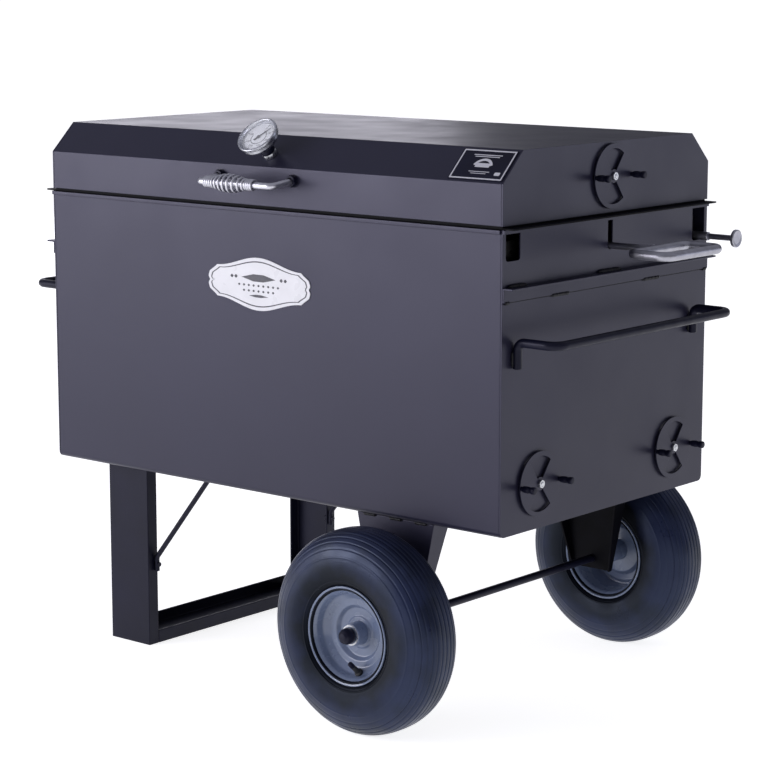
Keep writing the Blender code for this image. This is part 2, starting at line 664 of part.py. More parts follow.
def leg_frame():
    left, right = LEG_X
    front, rear = LEG_Y
    for name, web, side in (("front_leg", front, 1), ("rear_leg", rear, -1)):
        edge = web + side * LEG_FLANGE
        skin = web + side * LEG_SHEET
        outline = [(left, edge), (left, web), (right, web), (right, edge), (right - LEG_SHEET, edge),
                   (right - LEG_SHEET, skin), (left + LEG_SHEET, skin), (left + LEG_SHEET, edge)]
        add_solid(name, plate(outline, [], "Z", -CLEARANCE, -GAP), BLACK)
    edge, skin = LEG_FLANGE - CLEARANCE, LEG_SHEET - CLEARANCE
    outline = [(left, edge), (left, -CLEARANCE), (right, -CLEARANCE), (right, edge),
               (right - LEG_SHEET, edge), (right - LEG_SHEET, skin), (left + LEG_SHEET, skin),
               (left + LEG_SHEET, edge)]
    inset = LEG_FLANGE + GAP
    add_solid("foot_channel", plate(outline, [], "Y", front + inset, rear - inset), BLACK)


def leg_braces():
    """Round bars from the legs' inner flanges to the underside of the box."""
    radius = 0.005
    start = LEG_X[1] + GAP + radius
    top = -GAP - radius
    for name, y in (("front", LEG_Y[0] + 0.019), ("rear", LEG_Y[1] - 0.019)):
        corners = [(start, y, -0.222), (start, y, -0.204), (-0.212, y, top), (-0.186, y, top)]
        add_rod(f"leg_brace_{name}", rounded_path(corners, (0.012, 0.012), 3), radius, BLACK)


SIDES = ((1, "right"), (-1, "left"))

clear_scene()
DATUM = bpy.data.objects.new("body_datum", None)
bpy.context.scene.collection.objects.link(DATUM)
DATUM.location = (BODY_X, 0, CLEARANCE)

PAINT = material("charcoal_paint", (0.060, 0.058, 0.064), 0.38)
BLACK = material("black_paint", (0.018, 0.018, 0.020), 0.42)
STAINLESS = material("stainless_steel", (0.62, 0.61, 0.60), 0.30, 1.0)
RAW_STEEL = material("raw_steel", (0.26, 0.25, 0.24), 0.50, 1.0)
ZINC = material("zinc_steel", (0.60, 0.60, 0.58), 0.35, 1.0)
WHITE = material("white_enamel", (0.80, 0.80, 0.78), 0.35)
GLASS = material("glass", (0.90, 0.92, 0.92), 0.05)
RUBBER = material("tyre_rubber", (0.025, 0.026, 0.030), 0.75)
RIM_GREY = material("grey_enamel", (0.30, 0.32, 0.37), 0.35)

body_shell()
end_walls()
end_rails()
bar_handles()
charcoal_grate()
front_plaque()
lid_panels()
hinges()
lid_handle()
gauge()
label_plate()
vents()
pivoting_grate()
wheels()
axle()
axle_brackets()
leg_frame()
leg_braces()
bpy.context.view_layer.update()
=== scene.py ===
"""Looks of the charcoal box roaster: finer pieces, procedural surfaces, a pale floor and studio light.

Metres, +Z up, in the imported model's own frame: +X is the end with the wheels and the turning
handle, -Y is the front.  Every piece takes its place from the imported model's boxes.
"""
import json
import random
from math import atan2, cos, degrees, exp, hypot, pi, radians, sin, tan

import bmesh
import bpy
from mathutils import Matrix, Vector


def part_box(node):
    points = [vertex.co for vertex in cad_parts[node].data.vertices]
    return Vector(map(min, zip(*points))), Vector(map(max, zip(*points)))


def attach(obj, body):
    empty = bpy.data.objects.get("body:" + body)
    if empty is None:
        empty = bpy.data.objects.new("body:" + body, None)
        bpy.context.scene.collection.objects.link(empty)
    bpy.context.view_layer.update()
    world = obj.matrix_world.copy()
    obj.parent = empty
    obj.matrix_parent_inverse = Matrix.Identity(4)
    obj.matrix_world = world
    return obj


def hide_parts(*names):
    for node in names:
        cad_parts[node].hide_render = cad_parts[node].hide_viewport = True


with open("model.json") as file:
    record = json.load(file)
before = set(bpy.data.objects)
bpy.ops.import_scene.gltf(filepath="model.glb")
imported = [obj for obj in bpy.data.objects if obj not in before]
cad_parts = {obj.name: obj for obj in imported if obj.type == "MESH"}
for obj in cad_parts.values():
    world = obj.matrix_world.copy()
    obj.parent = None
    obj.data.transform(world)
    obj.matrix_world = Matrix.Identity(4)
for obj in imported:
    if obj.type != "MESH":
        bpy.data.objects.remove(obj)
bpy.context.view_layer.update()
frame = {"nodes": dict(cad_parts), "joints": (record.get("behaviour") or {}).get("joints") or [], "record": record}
BODY_OF = {node: body for body, nodes in frame["record"]["behaviour"]["bodies"].items() for node in nodes}
SIDES = ((1, "right"), (-1, "left"))
ENDS = ((-1, "front"), (1, "rear"))
ROOT = "cooker_body"
ORIGIN = (0, 0, 0)
# Vertex attribute of the tyres: distance from the axle as a share of the tyre's radius.
WALL_SHARE = "wall_share"


def linked(name, data):
    """A new object in the scene."""
    item = bpy.data.objects.new(name, data)
    bpy.context.scene.collection.objects.link(item)
    return item


# -------- surfaces
class Surface:
    """A Principled material with the few node patterns that this script uses."""

    def __init__(self, name, colour, roughness, metallic=0.0, **sockets):
        self.material = bpy.data.materials.new(name)
        self.material.use_nodes = True
        self.nodes = self.material.node_tree.nodes
        self.links = self.material.node_tree.links
        self.shader = self.nodes["Principled BSDF"]
        self.shader.inputs["Base Color"].default_value = (*colour, 1)
        self.shader.inputs["Roughness"].default_value = roughness
        self.shader.inputs["Metallic"].default_value = metallic
        for socket, value in sockets.items():
            self.shader.inputs[socket.replace("_", " ")].default_value = value
        self.colour = colour
        self.height = None

    def node(self, kind, **inputs):
        """A new node; each input takes a value or another node's output."""
        made = self.nodes.new("ShaderNode" + kind)
        for name, value in inputs.items():
            socket = made.inputs[name.replace("_", " ")]
            if isinstance(value, bpy.types.NodeSocket):
                self.links.new(value, socket)
            else:
                socket.default_value = value
        return made

    def noise(self, scale, detail, stretch=(1, 1, 1)):
        """Noise over the piece's own coordinates, optionally drawn out along an axis."""
        place = self.node("TexCoord")
        mapping = self.node("Mapping", Scale=stretch, Vector=place.outputs["Object"])
        pattern = self.node("TexNoise", Scale=scale, Detail=detail, Vector=mapping.outputs["Vector"])
        return pattern.outputs["Fac"]

    def attribute(self, name):
        made = self.node("Attribute")
        made.attribute_name = name
        return made.outputs["Fac"]

    def plus(self, first, second):
        made = self.node("Math")
        made.operation = "ADD"
        self.links.new(first, made.inputs[0])
        self.links.new(second, made.inputs[1])
        return made.outputs["Value"]

    def remap(self, value, low, high, source=(0.3, 0.7)):
        """Source range stretched to low and high; noise mostly lies in the default one."""
        ends = {"From_Min": source[0], "From_Max": source[1], "To_Min": low, "To_Max": high}
        return self.node("MapRange", Value=value, **ends).outputs["Result"]

    def tint(self, value, dark, light):
        """Colour between two shares of the base colour, or between two colours."""
        mix = self.node("Mix")
        mix.data_type = "RGBA"
        ends = []
        for shade in (dark, light):
            if isinstance(shade, (int, float)):
                shade = tuple(channel * shade for channel in self.colour)
            ends.append((*shade, 1))
        colour_ends = [socket for socket in mix.inputs if socket.type == "RGBA"]
        colour_ends[0].default_value, colour_ends[1].default_value = ends
        self.links.new(self.remap(value, 0, 1), mix.inputs["Factor"])
        out = [socket for socket in mix.outputs if socket.type == "RGBA"][0]
        self.links.new(out, self.shader.inputs["Base Color"])
        return self

    def gloss(self, value, low, high):
        self.links.new(self.remap(value, low, high), self.shader.inputs["Roughness"])
        return self

    def bump(self, value, depth, strength):
        """Add relief; several bumps chain through their normals."""
        node = self.node("Bump", Distance=depth, Strength=strength, Height=value)
        if self.height:
            self.links.new(self.height, node.inputs["Normal"])
        self.height = node.outputs["Normal"]
        self.links.new(self.height, self.shader.inputs["Normal"])
        return self


def finish(name, colour, roughness, metallic=0.0, clouds=None, sheen=None, relief=None, **sockets):
    """A surface with up to three noises, each as (scale, detail, low, high).

    Clouds vary the colour and sheen the roughness; relief ends in a depth in metres and a strength.
    """
    made = Surface(name, colour, roughness, metallic, **sockets)
    for pattern, use in ((clouds, made.tint), (sheen, made.gloss), (relief, made.bump)):
        if pattern:
            scale, detail, low, high = pattern
            use(made.noise(scale, detail), low, high)
    return made


def charcoal_paint():
    """Semi-gloss stove paint: faint clouds in the grey, orange peel, sheet that isn't quite flat."""
    made = finish("charcoal_paint", (0.0132, 0.0129, 0.0275), 0.33, clouds=(3.0, 4, 0.88, 1.12),
                  sheen=(9.0, 5, 0.33, 0.41), relief=(2.2, 1, 0.0035, 0.25),
                  Specular_IOR_Level=0.41, Specular_Tint=(0.8, 0.79, 1.0, 1))
    return made.bump(made.noise(420.0, 2), 0.00012, 0.35)


def black_paint():
    return finish("black_paint", (0.004, 0.0042, 0.013), 0.38, clouds=(14.0, 4, 0.8, 1.3),
                  sheen=(30.0, 4, 0.34, 0.48), relief=(500.0, 2, 0.00012, 0.4),
                  Specular_IOR_Level=0.22, Specular_Tint=(0.82, 0.82, 1.0, 1))


def dark_paint():
    """Painted shade: the stove paint darkened for places where shadow falls (rail feet, lid rim, rear bracket)."""
    return finish("dark_paint", (0.0018, 0.0018, 0.0036), 0.5, clouds=(30.0, 4, 0.7, 1.4),
                  relief=(420.0, 2, 0.00012, 0.35), Specular_IOR_Level=0.06)


def drawn_bar(name, colour, roughness, dark):
    """Drawn steel: fine streaks along X and small handling marks."""
    made = finish(name, colour, roughness, 1.0, clouds=(60.0, 4, dark, 1.05))
    made.gloss(made.noise(260.0, 4, (1, 6, 6)), 0.3, 0.46)
    return made.bump(made.noise(900.0, 2, (0.3, 1, 1)), 0.00005, 0.25)


def stainless():
    return drawn_bar("stainless", (0.42, 0.42, 0.47), 0.36, 0.82)


def bright_steel():
    """Plated spring wire and rod."""
    return drawn_bar("bright_steel", (0.64, 0.64, 0.7), 0.38, 0.86)


def grate_steel():
    return finish("grate_steel", (0.2, 0.195, 0.2), 0.38, 1.0, clouds=(40.0, 5, 0.7, 1.1),
                  sheen=(200.0, 3, 0.26, 0.42), relief=(600.0, 2, 0.00006, 0.3))


def chrome():
    return finish("chrome", (0.62, 0.63, 0.68), 0.24, 1.0, clouds=(80.0, 3, 0.92, 1.02),
                  sheen=(120.0, 4, 0.2, 0.32))


def zinc():
    return finish("zinc", (0.62, 0.63, 0.66), 0.3, 1.0, clouds=(220.0, 3, 0.75, 1.1),
                  sheen=(300.0, 3, 0.22, 0.42), relief=(700.0, 2, 0.00005, 0.3))


def raw_steel():
    """Hot-rolled steel with mill scale and a little heat colour."""
    return finish("raw_steel", (0.16, 0.15, 0.15), 0.5, 0.9,
                  clouds=(22.0, 6, (0.1, 0.085, 0.08), (0.22, 0.21, 0.22)),
                  sheen=(50.0, 4, 0.4, 0.65), relief=(300.0, 3, 0.0002, 0.4))


def white_enamel():
    return finish("white_enamel", (0.66, 0.66, 0.7), 0.38, clouds=(30.0, 4, 0.93, 1.0),
                  sheen=(40.0, 3, 0.25, 0.36), relief=(300.0, 2, 0.00008, 0.3))


def dial_white():
    return finish("dial_white", (0.95, 0.96, 1.0), 0.4, clouds=(60.0, 3, 0.96, 1.0),
                  sheen=(80.0, 3, 0.36, 0.46))


def print_ink():
    return finish("print_ink", (0.045, 0.045, 0.06), 0.45, clouds=(200.0, 3, 0.8, 1.3),
                  sheen=(90.0, 3, 0.4, 0.52))


def silver_print():
    return finish("silver_print", (0.62, 0.62, 0.68), 0.42, 0.25, clouds=(120.0, 3, 0.92, 1.05),
                  sheen=(90.0, 3, 0.38, 0.5))


def rubber():
    """Tyre rubber: bluish black and mottled, with painted shade that darkens the side wall towards the bead; paler
    and glossier out to the tread.
    """
    made = Surface("tyre_rubber", (0.01, 0.012, 0.024), 0.36, Specular_IOR_Level=0.44,
                   Specular_Tint=(0.62, 0.74, 1.0, 1))
    wall = made.attribute(WALL_SHARE)
    # Painted shade: the colour darkens towards the bead, on top of random mottling.
    made.tint(made.plus(made.noise(16.0, 6), made.remap(wall, -0.3, 0.14, (0.5, 0.78))),
              (0.0012, 0.0014, 0.003), (0.01, 0.014, 0.042))
    made.gloss(made.noise(22.0, 5), 0.26, 0.48)
    made.links.new(made.remap(wall, 0.14, 0.44, (0.5, 0.82)), made.shader.inputs["Specular IOR Level"])
    made.bump(made.noise(60.0, 3), 0.0006, 0.35)
    return made.bump(made.noise(900.0, 2), 0.00012, 0.5)


def stem_rubber():
    return finish("stem_rubber", (0.014, 0.014, 0.016), 0.55, clouds=(90.0, 3, 0.8, 1.3),
                  relief=(600.0, 2, 0.0001, 0.4))


def rim_enamel():
    return finish("rim_enamel", (0.14, 0.175, 0.27), 0.24, clouds=(12.0, 4, 0.88, 1.12),
                  sheen=(26.0, 4, 0.2, 0.32), relief=(320.0, 2, 0.0001, 0.3),
                  Coat_Weight=0.35, Coat_Roughness=0.08)


def clear_glass():
    return finish("clear_glass", (0.95, 0.97, 1.0), 0.03, sheen=(30.0, 3, 0.02, 0.07),
                  Alpha=0.14, Specular_IOR_Level=0.9)


def weld_metal():
    """Painted-over weld bead: blotchy and pitted."""
    return finish("weld_metal", (0.0045, 0.0045, 0.007), 0.38, clouds=(180.0, 3, 0.6, 1.4),
                  sheen=(220.0, 2, 0.28, 0.48), relief=(420.0, 3, 0.0004, 0.5), Specular_IOR_Level=0.22)


MAKERS = (charcoal_paint, black_paint, stainless, bright_steel, grate_steel, chrome, zinc, raw_steel,
          white_enamel, dial_white, dark_paint, print_ink, silver_print, rubber, stem_rubber, rim_enamel,
          clear_glass, weld_metal)
SURFACES = {make.__name__: make().material for make in MAKERS}


# -------- placing pieces
EDGE_ANGLE = radians(35)
FLAT_ANGLE = radians(1)
MERGE_DISTANCE = 1e-5
FLAT_FACE_WEIGHT = 90


def show(name, bm, surface, body, *replaced, sheet=False, sharp=38):
    """Turn a bmesh into a shown piece riding on a body.

    Sheet metal gets flat-face normals; sharp is the angle in degrees past which an edge stays crisp.
    """
    bmesh.ops.recalc_face_normals(bm, faces=bm.faces)
    mesh = bpy.data.meshes.new(name)
    bm.to_mesh(mesh)
    bm.free()
    mesh.shade_smooth()
    mesh.set_sharp_from_angle(angle=radians(sharp))
    mesh.materials.append(SURFACES[surface])
    item = linked(name, mesh)
    if sheet:
        normals = item.modifiers.new("flat_faces", "WEIGHTED_NORMAL")
        normals.keep_sharp = True
        normals.weight = FLAT_FACE_WEIGHT
    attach(item, body)
    if replaced:
        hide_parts(*replaced)
    return item


def middle_of(node):
    """Centre of a CAD node's box."""
    low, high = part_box(node)
    return [(a + b) / 2 for a, b in zip(low, high)]


def stand_in(node, bm, surface, **options):
    """A finer piece that stands for one CAD node and rides on the same body."""
    return show(f"{node}_piece", bm, surface, BODY_OF[node], node, **options)


def refined(node, surface, width=0.0008, steps=2):
    """The CAD node itself with its facets merged and its edges rounded."""
    bm = bmesh.new()
    bm.from_mesh(frame["nodes"][node].data)
    bmesh.ops.remove_doubles(bm, verts=bm.verts, dist=MERGE_DISTANCE)
    bmesh.ops.dissolve_limit(bm, angle_limit=FLAT_ANGLE, verts=bm.verts, edges=bm.edges)
    round_edges(bm, width, steps)
    return stand_in(node, bm, surface, sheet=True)


def round_edges(bm, width, steps=2):
    edges = [e for e in bm.edges if len(e.link_faces) == 2 and e.calc_face_angle() > EDGE_ANGLE]
    bmesh.ops.bevel(bm, geom=edges, offset=width, segments=steps, profile=0.5, affect="EDGES",
                    clamp_overlap=True)


# -------- shapes
STRAIGHT = 0.01
LONGEST_BEND = 0.49
POLE = 1e-6


def on_axis(axis, first, second, along):
    places = {"X": (along, first, second), "Y": (first, along, second), "Z": (first, second, along)}
    return Vector(places[axis])


def soften(points, radius, steps=5, closed=False):
    """Round every corner of a line with arcs of the given bend radius."""
    points = [Vector(p) for p in points]
    radii = radius if isinstance(radius, (list, tuple)) else [radius] * len(points)
    line = []
    for i, corner in enumerate(points):
        if not closed and i in (0, len(points) - 1):
            line.append(corner)
            continue
        back = points[i - 1] - corner
        ahead = points[(i + 1) % len(points)] - corner
        turn = pi - back.angle(ahead)
        if turn < STRAIGHT or radii[i] <= 0:
            line.append(corner)
            continue
        wanted = radii[i] * tan(turn / 2)
        reach = min(wanted, back.length * LONGEST_BEND, ahead.length * LONGEST_BEND)
        pull = 1 - (4 / 3) * tan(turn / 4) / tan(turn / 2)
        start = corner + back.normalized() * reach
        stop = corner + ahead.normalized() * reach
        near, far = corner + (start - corner) * pull, corner + (stop - corner) * pull
        for k in range(steps + 1):
            t = k / steps
            s = 1 - t
            line.append(start * s ** 3 + near * 3 * s * s * t + far * 3 * s * t * t + stop * t ** 3)
    return line


def arc(centre, radius, start, stop, steps):
    """Points of an arc between two angles in degrees."""
    turns = [radians(start + (stop - start) * i / steps) for i in range(steps + 1)]
    return [Vector((centre[0] + radius * cos(a), centre[1] + radius * sin(a))) for a in turns]


def circle(centre, radius, steps):
    return arc(centre, radius, 0, 360, steps)[:-1]


def rectangle(left, right, bottom, top):
    return [(left, bottom), (right, bottom), (right, top), (left, top)]


def band(low, high, inner, outer):
    """Section of a ring, or of a disc where inner is 0, as (along, radius) points."""
    return [(low, inner), (low, outer), (high, outer), (high, inner)]


def slab(outline, holes, axis, low, high, edge):
    """A plate with holes, square to an axis, with every edge rounded."""
    bm = bmesh.new()
    for loop in [outline, *holes]:
        verts = [bm.verts.new(on_axis(axis, a, b, low)) for a, b in loop]
        for i, vert in enumerate(verts):
            bm.edges.new((vert, verts[i - 1]))
    bmesh.ops.triangle_fill(bm, edges=bm.edges[:], use_beauty=True)
    bmesh.ops.dissolve_limit(bm, angle_limit=FLAT_ANGLE, verts=bm.verts, edges=bm.edges)
    raised = bmesh.ops.extrude_face_region(bm, geom=bm.faces[:], use_keep_orig=True)
    far_side = [item for item in raised["geom"] if isinstance(item, bmesh.types.BMVert)]
    bmesh.ops.translate(bm, vec=on_axis(axis, 0, 0, high - low), verts=far_side)
    if edge:
        round_edges(bm, edge)
    return bm


def skin(bm, rings, around, closed, capped=False):
    """Faces between rings of vertices, one after another; a ring of one vertex is a pole."""
    spans = list(zip(rings, rings[1:]))
    if closed:
        spans.append((rings[-1], rings[0]))
    for one, two in spans:
        for i in range(around):
            j = (i + 1) % around
            corners = [one[i % len(one)], one[j % len(one)], two[j % len(two)], two[i % len(two)]]
            unique = list(dict.fromkeys(corners))
            if len(unique) > 2:
                bm.faces.new(unique)
    if capped:
        bm.faces.new(rings[0][::-1])
        bm.faces.new(rings[-1])
    return bm


def turned(profile, axis, centre, segments, closed=False):
    """Spin (along, radius) points about an axis; a closed profile is a ring's section."""
    bm = bmesh.new()
    rings = []
    for along, radius in profile:
        ring = []
        for i in range(segments if radius > POLE else 1):
            a = 2 * pi * i / segments - pi / 2
            spot = on_axis(axis, radius * cos(a), radius * sin(a), along)
            ring.append(bm.verts.new(spot + Vector(centre)))
        rings.append(ring)
    return skin(bm, rings, segments, closed)


def sweep(path, radius, sides, closed=False, chamfer=0.15):
    """A round bar along a path; radius is one number or one for each point.

    The ends of an open bar are chamfered by a share of its radius.
    """
    points = [Vector(p) for p in path]
    radii = list(radius) if isinstance(radius, (list, tuple)) else [radius] * len(points)
    if not closed:
        for i in (0, -1):
            end, after, size = points[i], points[-2 if i else 1], radii[i]
            points[i] = end + (after - end).normalized() * size * chamfer
            at = len(points) if i else 0
            points.insert(at, end)
            radii.insert(at, size * (1 - chamfer))
    count = len(points)
    bm = bmesh.new()
    rings = []
    side = None
    for i, point in enumerate(points):
        if closed:
            run = points[(i + 1) % count] - points[i - 1]
        else:
            run = points[min(i + 1, count - 1)] - points[max(i - 1, 0)]
        run.normalize()
        if side is None:
            side = run.orthogonal().normalized()
        side = (side - run * side.dot(run)).normalized()
        other = run.cross(side)
        ring = []
        for k in range(sides):
            a = 2 * pi * k / sides
            ring.append(bm.verts.new(point + (side * cos(a) + other * sin(a)) * radii[i]))
        rings.append(ring)
    return skin(bm, rings, sides, closed, capped=not closed)


def merged(*parts):
    """Several bmeshes in one."""
    first = parts[0]
    for other in parts[1:]:
        mesh = bpy.data.meshes.new("part")
        other.to_mesh(mesh)
        other.free()
        first.from_mesh(mesh)
        bpy.data.meshes.remove(mesh)
    return first


def moved(bm, matrix):
    bmesh.ops.transform(bm, matrix=matrix, verts=bm.verts)
    return bm


def hexagon(radius, low, high, bore=0.0):
    """A chamfered hex nut or bolt head about Z; radius is across its corners."""
    sector = pi / 3
    flat = radius * cos(pi / 6)
    trim = radius * 0.1
    worn = flat * 1.02
    around = 24
    turns = [2 * pi * i / around for i in range(around)]
    bm = bmesh.new()
    rings = []
    for z, at_face in ((low, True), (low + trim, False), (high - trim, False), (high, True)):
        ring = []
        for a in turns:
            reach = flat / cos((a + pi / 6) % sector - pi / 6)
            reach = min(reach, worn) if at_face else reach
            ring.append(bm.verts.new((reach * cos(a), reach * sin(a), z)))
        rings.append(ring)
    if bore:
        for z in (high, low):
            rings.append([bm.verts.new((bore * cos(a), bore * sin(a), z)) for a in turns])
    return skin(bm, rings, around, closed=bool(bore), capped=not bore)


def facing(axis, centre, turn=0.0):
    """Matrix that stands a shape modelled about Z on a point, pointing along an axis."""
    way = Vector(axis).normalized().to_track_quat("Z", "Y").to_matrix().to_4x4()
    return Matrix.Translation(centre) @ way @ Matrix.Rotation(turn, 4, "Z")


def weld(name, start, stop, radius):
    """A hand-laid bead: overlapping ripples and a wandering edge, flat along its length."""
    start, stop = Vector(start), Vector(stop)
    run = stop - start
    draw = random.Random(name)
    ripple_pitch = radius * 0.28
    drift = radius * 0.25
    count = max(6, int(run.length / ripple_pitch))
    across = run.orthogonal().normalized()
    path, radii = [], []
    for i in range(count + 1):
        share = i / count
        wander = (draw.random() - 0.5) * drift
        path.append(start + run * share + across * wander)
        fade = min(1, 6 * min(share, 1 - share) + 0.35)
        radii.append(radius * fade * (0.86 + 0.14 * abs(sin(i * 1.1)) + 0.08 * draw.random()))
    return show(name, sweep(path, radii, 10, chamfer=0.4), "weld_metal", ROOT, sharp=70)


def stitches(name, spans, x, z, radius):
    """Weld beads in a row along Y, one for each (start, stop)."""
    for i, (start, stop) in enumerate(spans):
        weld(f"{name}_{i}", (x, start, z), (x, stop, z), radius)


# -------- firebox
END_LOW, END_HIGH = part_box("end_wall_right")
HALF_Y = END_HIGH.y
BASE_Z, JOINT_Z = END_LOW.z, END_HIGH.z
WALL_X = {1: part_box("lid_end_right")[1].x, -1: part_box("lid_end_left")[0].x}
SHEET = 0.003
GAP = 0.0003
HEM_REACH, HEM_HEIGHT = 0.004, 0.007
LOWER_BEND = 0.01
LID_BEND = 0.0045


def thickened(path, thickness):
    """Outline of a sheet that follows an open line, thickened to its left."""
    inner = []
    for i, point in enumerate(path):
        normals = []
        for a, b in ((i - 1, i), (i, i + 1)):
            if 0 <= a and b < len(path):
                run = (path[b] - path[a]).normalized()
                normals.append(Vector((-run.y, run.x)))
        mean = sum(normals, Vector((0, 0))).normalized()
        inner.append(point + mean * thickness / mean.dot(normals[0]))
    return path + inner[::-1]


def body_shell():
    low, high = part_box("body_shell")
    path = soften([(-HALF_Y, JOINT_Z), (-HALF_Y, BASE_Z), (HALF_Y, BASE_Z), (HALF_Y, JOINT_Z)],
                  LOWER_BEND, 8)
    step = JOINT_Z - HEM_HEIGHT
    lip = [Vector((-HALF_Y - HEM_REACH, JOINT_Z)), Vector((-HALF_Y - HEM_REACH, step)),
           Vector((-HALF_Y, step))]
    bm = slab(lip + thickened(path, SHEET)[1:], [], "X", low.x, high.x, 0.0009)
    stand_in("body_shell", bm, "charcoal_paint", sheet=True)
    for _, name in SIDES:
        refined(f"end_wall_{name}", "charcoal_paint", 0.0006)
        refined(f"end_rail_{name}", "charcoal_paint", 0.0007)
    refined("charcoal_grate", "raw_steel", 0.0006, 1)


def bar_handles():
    radius = 0.008
    wall_bend, outer_bend = 0.014, 0.024
    bead, bead_in, bead_out = 0.0026, 0.0055, 0.0068
    bead_low, bead_high = 0.003, 0.03
    for side, name in SIDES:
        node = f"bar_handle_{name}"
        low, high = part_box(node)
        wall, out = (low.x + radius, high.x - radius) if side > 0 else (high.x - radius, low.x + radius)
        front, back = low.y + radius, high.y - radius
        top = high.z - radius
        corners = [(wall, front, low.z), (wall, front, top), (out, front, top),
                   (out, back, top), (wall, back, top), (wall, back, low.z)]
        line = soften(corners, [0, wall_bend, outer_bend, outer_bend, wall_bend, 0], 7)
        stand_in(node, sweep(line, radius, 24), "black_paint")
        for end, y in (("front", front), ("back", back)):
            for edge, flank in ((-1, "near"), (1, "far")):
                foot = (wall - side * bead_in, y + edge * bead_out)
                start, stop = (*foot, low.z + bead_low), (*foot, low.z + bead_high)
                weld(f"handle_weld_{name}_{end}_{flank}", start, stop, bead)


def seam_welds():
    """A painted shadow line, stitches and end tacks under each rail, and stitches on top of it."""
    low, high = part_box("end_rail_right")
    under = ((-0.18, -0.123), (0.099, 0.156), (-HALF_Y + 0.004, -HALF_Y + 0.016),
             (HALF_Y - 0.016, HALF_Y - 0.004))
    on_top = ((-0.3, -0.25), (-0.04, 0.03), (0.262, 0.3))
    for side, name in SIDES:
        face = WALL_X[side] + side * 0.0018
        shadow_z = low.z - 0.0002
        # Painted shadow: a dark bar along the rail's foot, where the rail shades the wall below it.
        shadow_line = sweep([(face, 0.006 - HALF_Y, shadow_z), (face, HALF_Y - 0.006, shadow_z)], 0.0012, 8)
        show(f"rail_shadow_line_{name}", shadow_line, "dark_paint", ROOT)
        stitches(f"rail_stitch_{name}", under, face, low.z - 0.0006, 0.0034)
        stitches(f"shelf_stitch_{name}", on_top, WALL_X[side] + side * 0.003, high.z + 0.0008, 0.004)


# -------- plaque
def ogee(half, shoulder, rise, steps=28):
    """Top edge that climbs from level shoulders to a rounded crown, left to right."""
    line = []
    for i in range(steps + 1):
        x = -half + 2 * half * i / steps
        line.append(Vector((x, shoulder + rise * (0.5 + 0.5 * cos(pi * x / half)))))
    return line


def shrunk(outline, middle, wide, tall):
    """A smaller copy of an outline about the plaque's centre."""
    return [Vector((p.x * wide, middle + (p.y - middle) * tall)) for p in outline]


def tapered(x, z, half, thick):
    """A bar that swells from two points to a blunt middle."""
    blunt = half * 0.3
    corners = ((-half, 0), (-blunt, thick), (blunt, thick), (half, 0), (blunt, -thick), (-blunt, -thick))
    return [Vector((x + a, z + b)) for a, b in corners]


def plaque_outline(half, low, high):
    """Two mirrored ogees joined by ends with a small step and a rounded ear."""
    middle = (low + high) / 2
    reach = (high - low) / 2
    shoulder = reach * 0.6
    crown = ogee(half * 0.82, shoulder, reach - shoulder)
    ear = [(half * 0.82, shoulder), (half * 0.86, shoulder * 0.86), (half * 0.97, shoulder * 0.55),
           (half, shoulder * 0.18)]
    mirrored = [(x, -y) for x, y in reversed(ear)]
    right = soften([*ear, (half * 0.955, 0), *mirrored], 0.005, 3)[1:-1]
    below = [Vector((-p.x, -p.y)) for p in crown]
    left = [Vector((-p.x, -p.y)) for p in right]
    return [Vector((p.x, p.y + middle)) for p in crown + right + below + left]


def front_plaque():
    """White ornamental plate: an inked border, a long lozenge and rows of small ones, no lettering."""
    low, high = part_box("front_plaque")
    centre, _, middle = middle_of("front_plaque")
    shape = plaque_outline((high.x - low.x) / 2, low.z, high.z)
    at_centre = Matrix.Translation((centre, 0, 0))
    plate = moved(slab(shape, [], "Y", low.y, high.y, 0.0004), at_centre)
    stand_in("front_plaque", plate, "white_enamel", sheet=True)
    ink = 0.00025
    front = low.y - ink
    outer, inner = shrunk(shape, middle, 0.945, 0.865), shrunk(shape, middle, 0.925, 0.82)
    line = moved(slab(outer, [inner], "Y", front, low.y + ink, 0), at_centre)
    show("plaque_border", line, "print_ink", ROOT)
    upper_row = middle + 0.011
    marks = [tapered(0, upper_row, 0.042, 0.0066)]
    for x in (-0.066, -0.056, 0.056, 0.066):
        marks.append(tapered(x, upper_row, 0.004, 0.003))
    for drop, count in ((0.003, 9), (0.013, 7)):
        for i in range(count):
            marks.append(tapered((i - (count - 1) / 2) * 0.012, middle - drop, 0.003, 0.0021))
    marks.append(tapered(0, middle - 0.022, 0.024, 0.0024))
    marks = [slab(mark, [], "Y", front, low.y + ink, 0) for mark in marks]
    show("plaque_ornament", moved(merged(*marks), at_centre), "print_ink", ROOT)
    head = [(-0.0006, 0), (-0.0006, 0.0024), (-0.0016, 0.002), (-0.0021, 0.001), (-0.0022, 0)]
    for side, name in SIDES:
        rivet = turned(head, "Y", (centre + side * 0.113, low.y + 0.0004, middle), 20)
        show(f"plaque_rivet_{name}", rivet, "zinc", ROOT)


# -------- lid
CHAMFER_RISE, CHAMFER_RUN = 0.054, 0.056


def lid_panels():
    low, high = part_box("lid_shell")
    shoulder = high.z - CHAMFER_RISE
    corners = [(HALF_Y, low.z), (HALF_Y, shoulder), (HALF_Y - CHAMFER_RUN, high.z),
               (CHAMFER_RUN - HALF_Y, high.z), (-HALF_Y, shoulder), (-HALF_Y, low.z)]
    path = soften(corners, LID_BEND, 5)
    shell = slab(thickened(path, SHEET), [], "X", low.x, high.x, 0.0007)
    stand_in("lid_shell", shell, "charcoal_paint", sheet=True)
    for _, name in SIDES:
        refined(f"lid_end_{name}", "charcoal_paint", 0.0007)
        for part in ("body", "lid"):
            refined(f"hinge_leaf_{part}_{name}", "black_paint", 0.0005)
    # Painted shade: the lid's rim plate gets the darkened paint, not the body's paint.
    refined("lid_rim", "dark_paint", 0.0006)


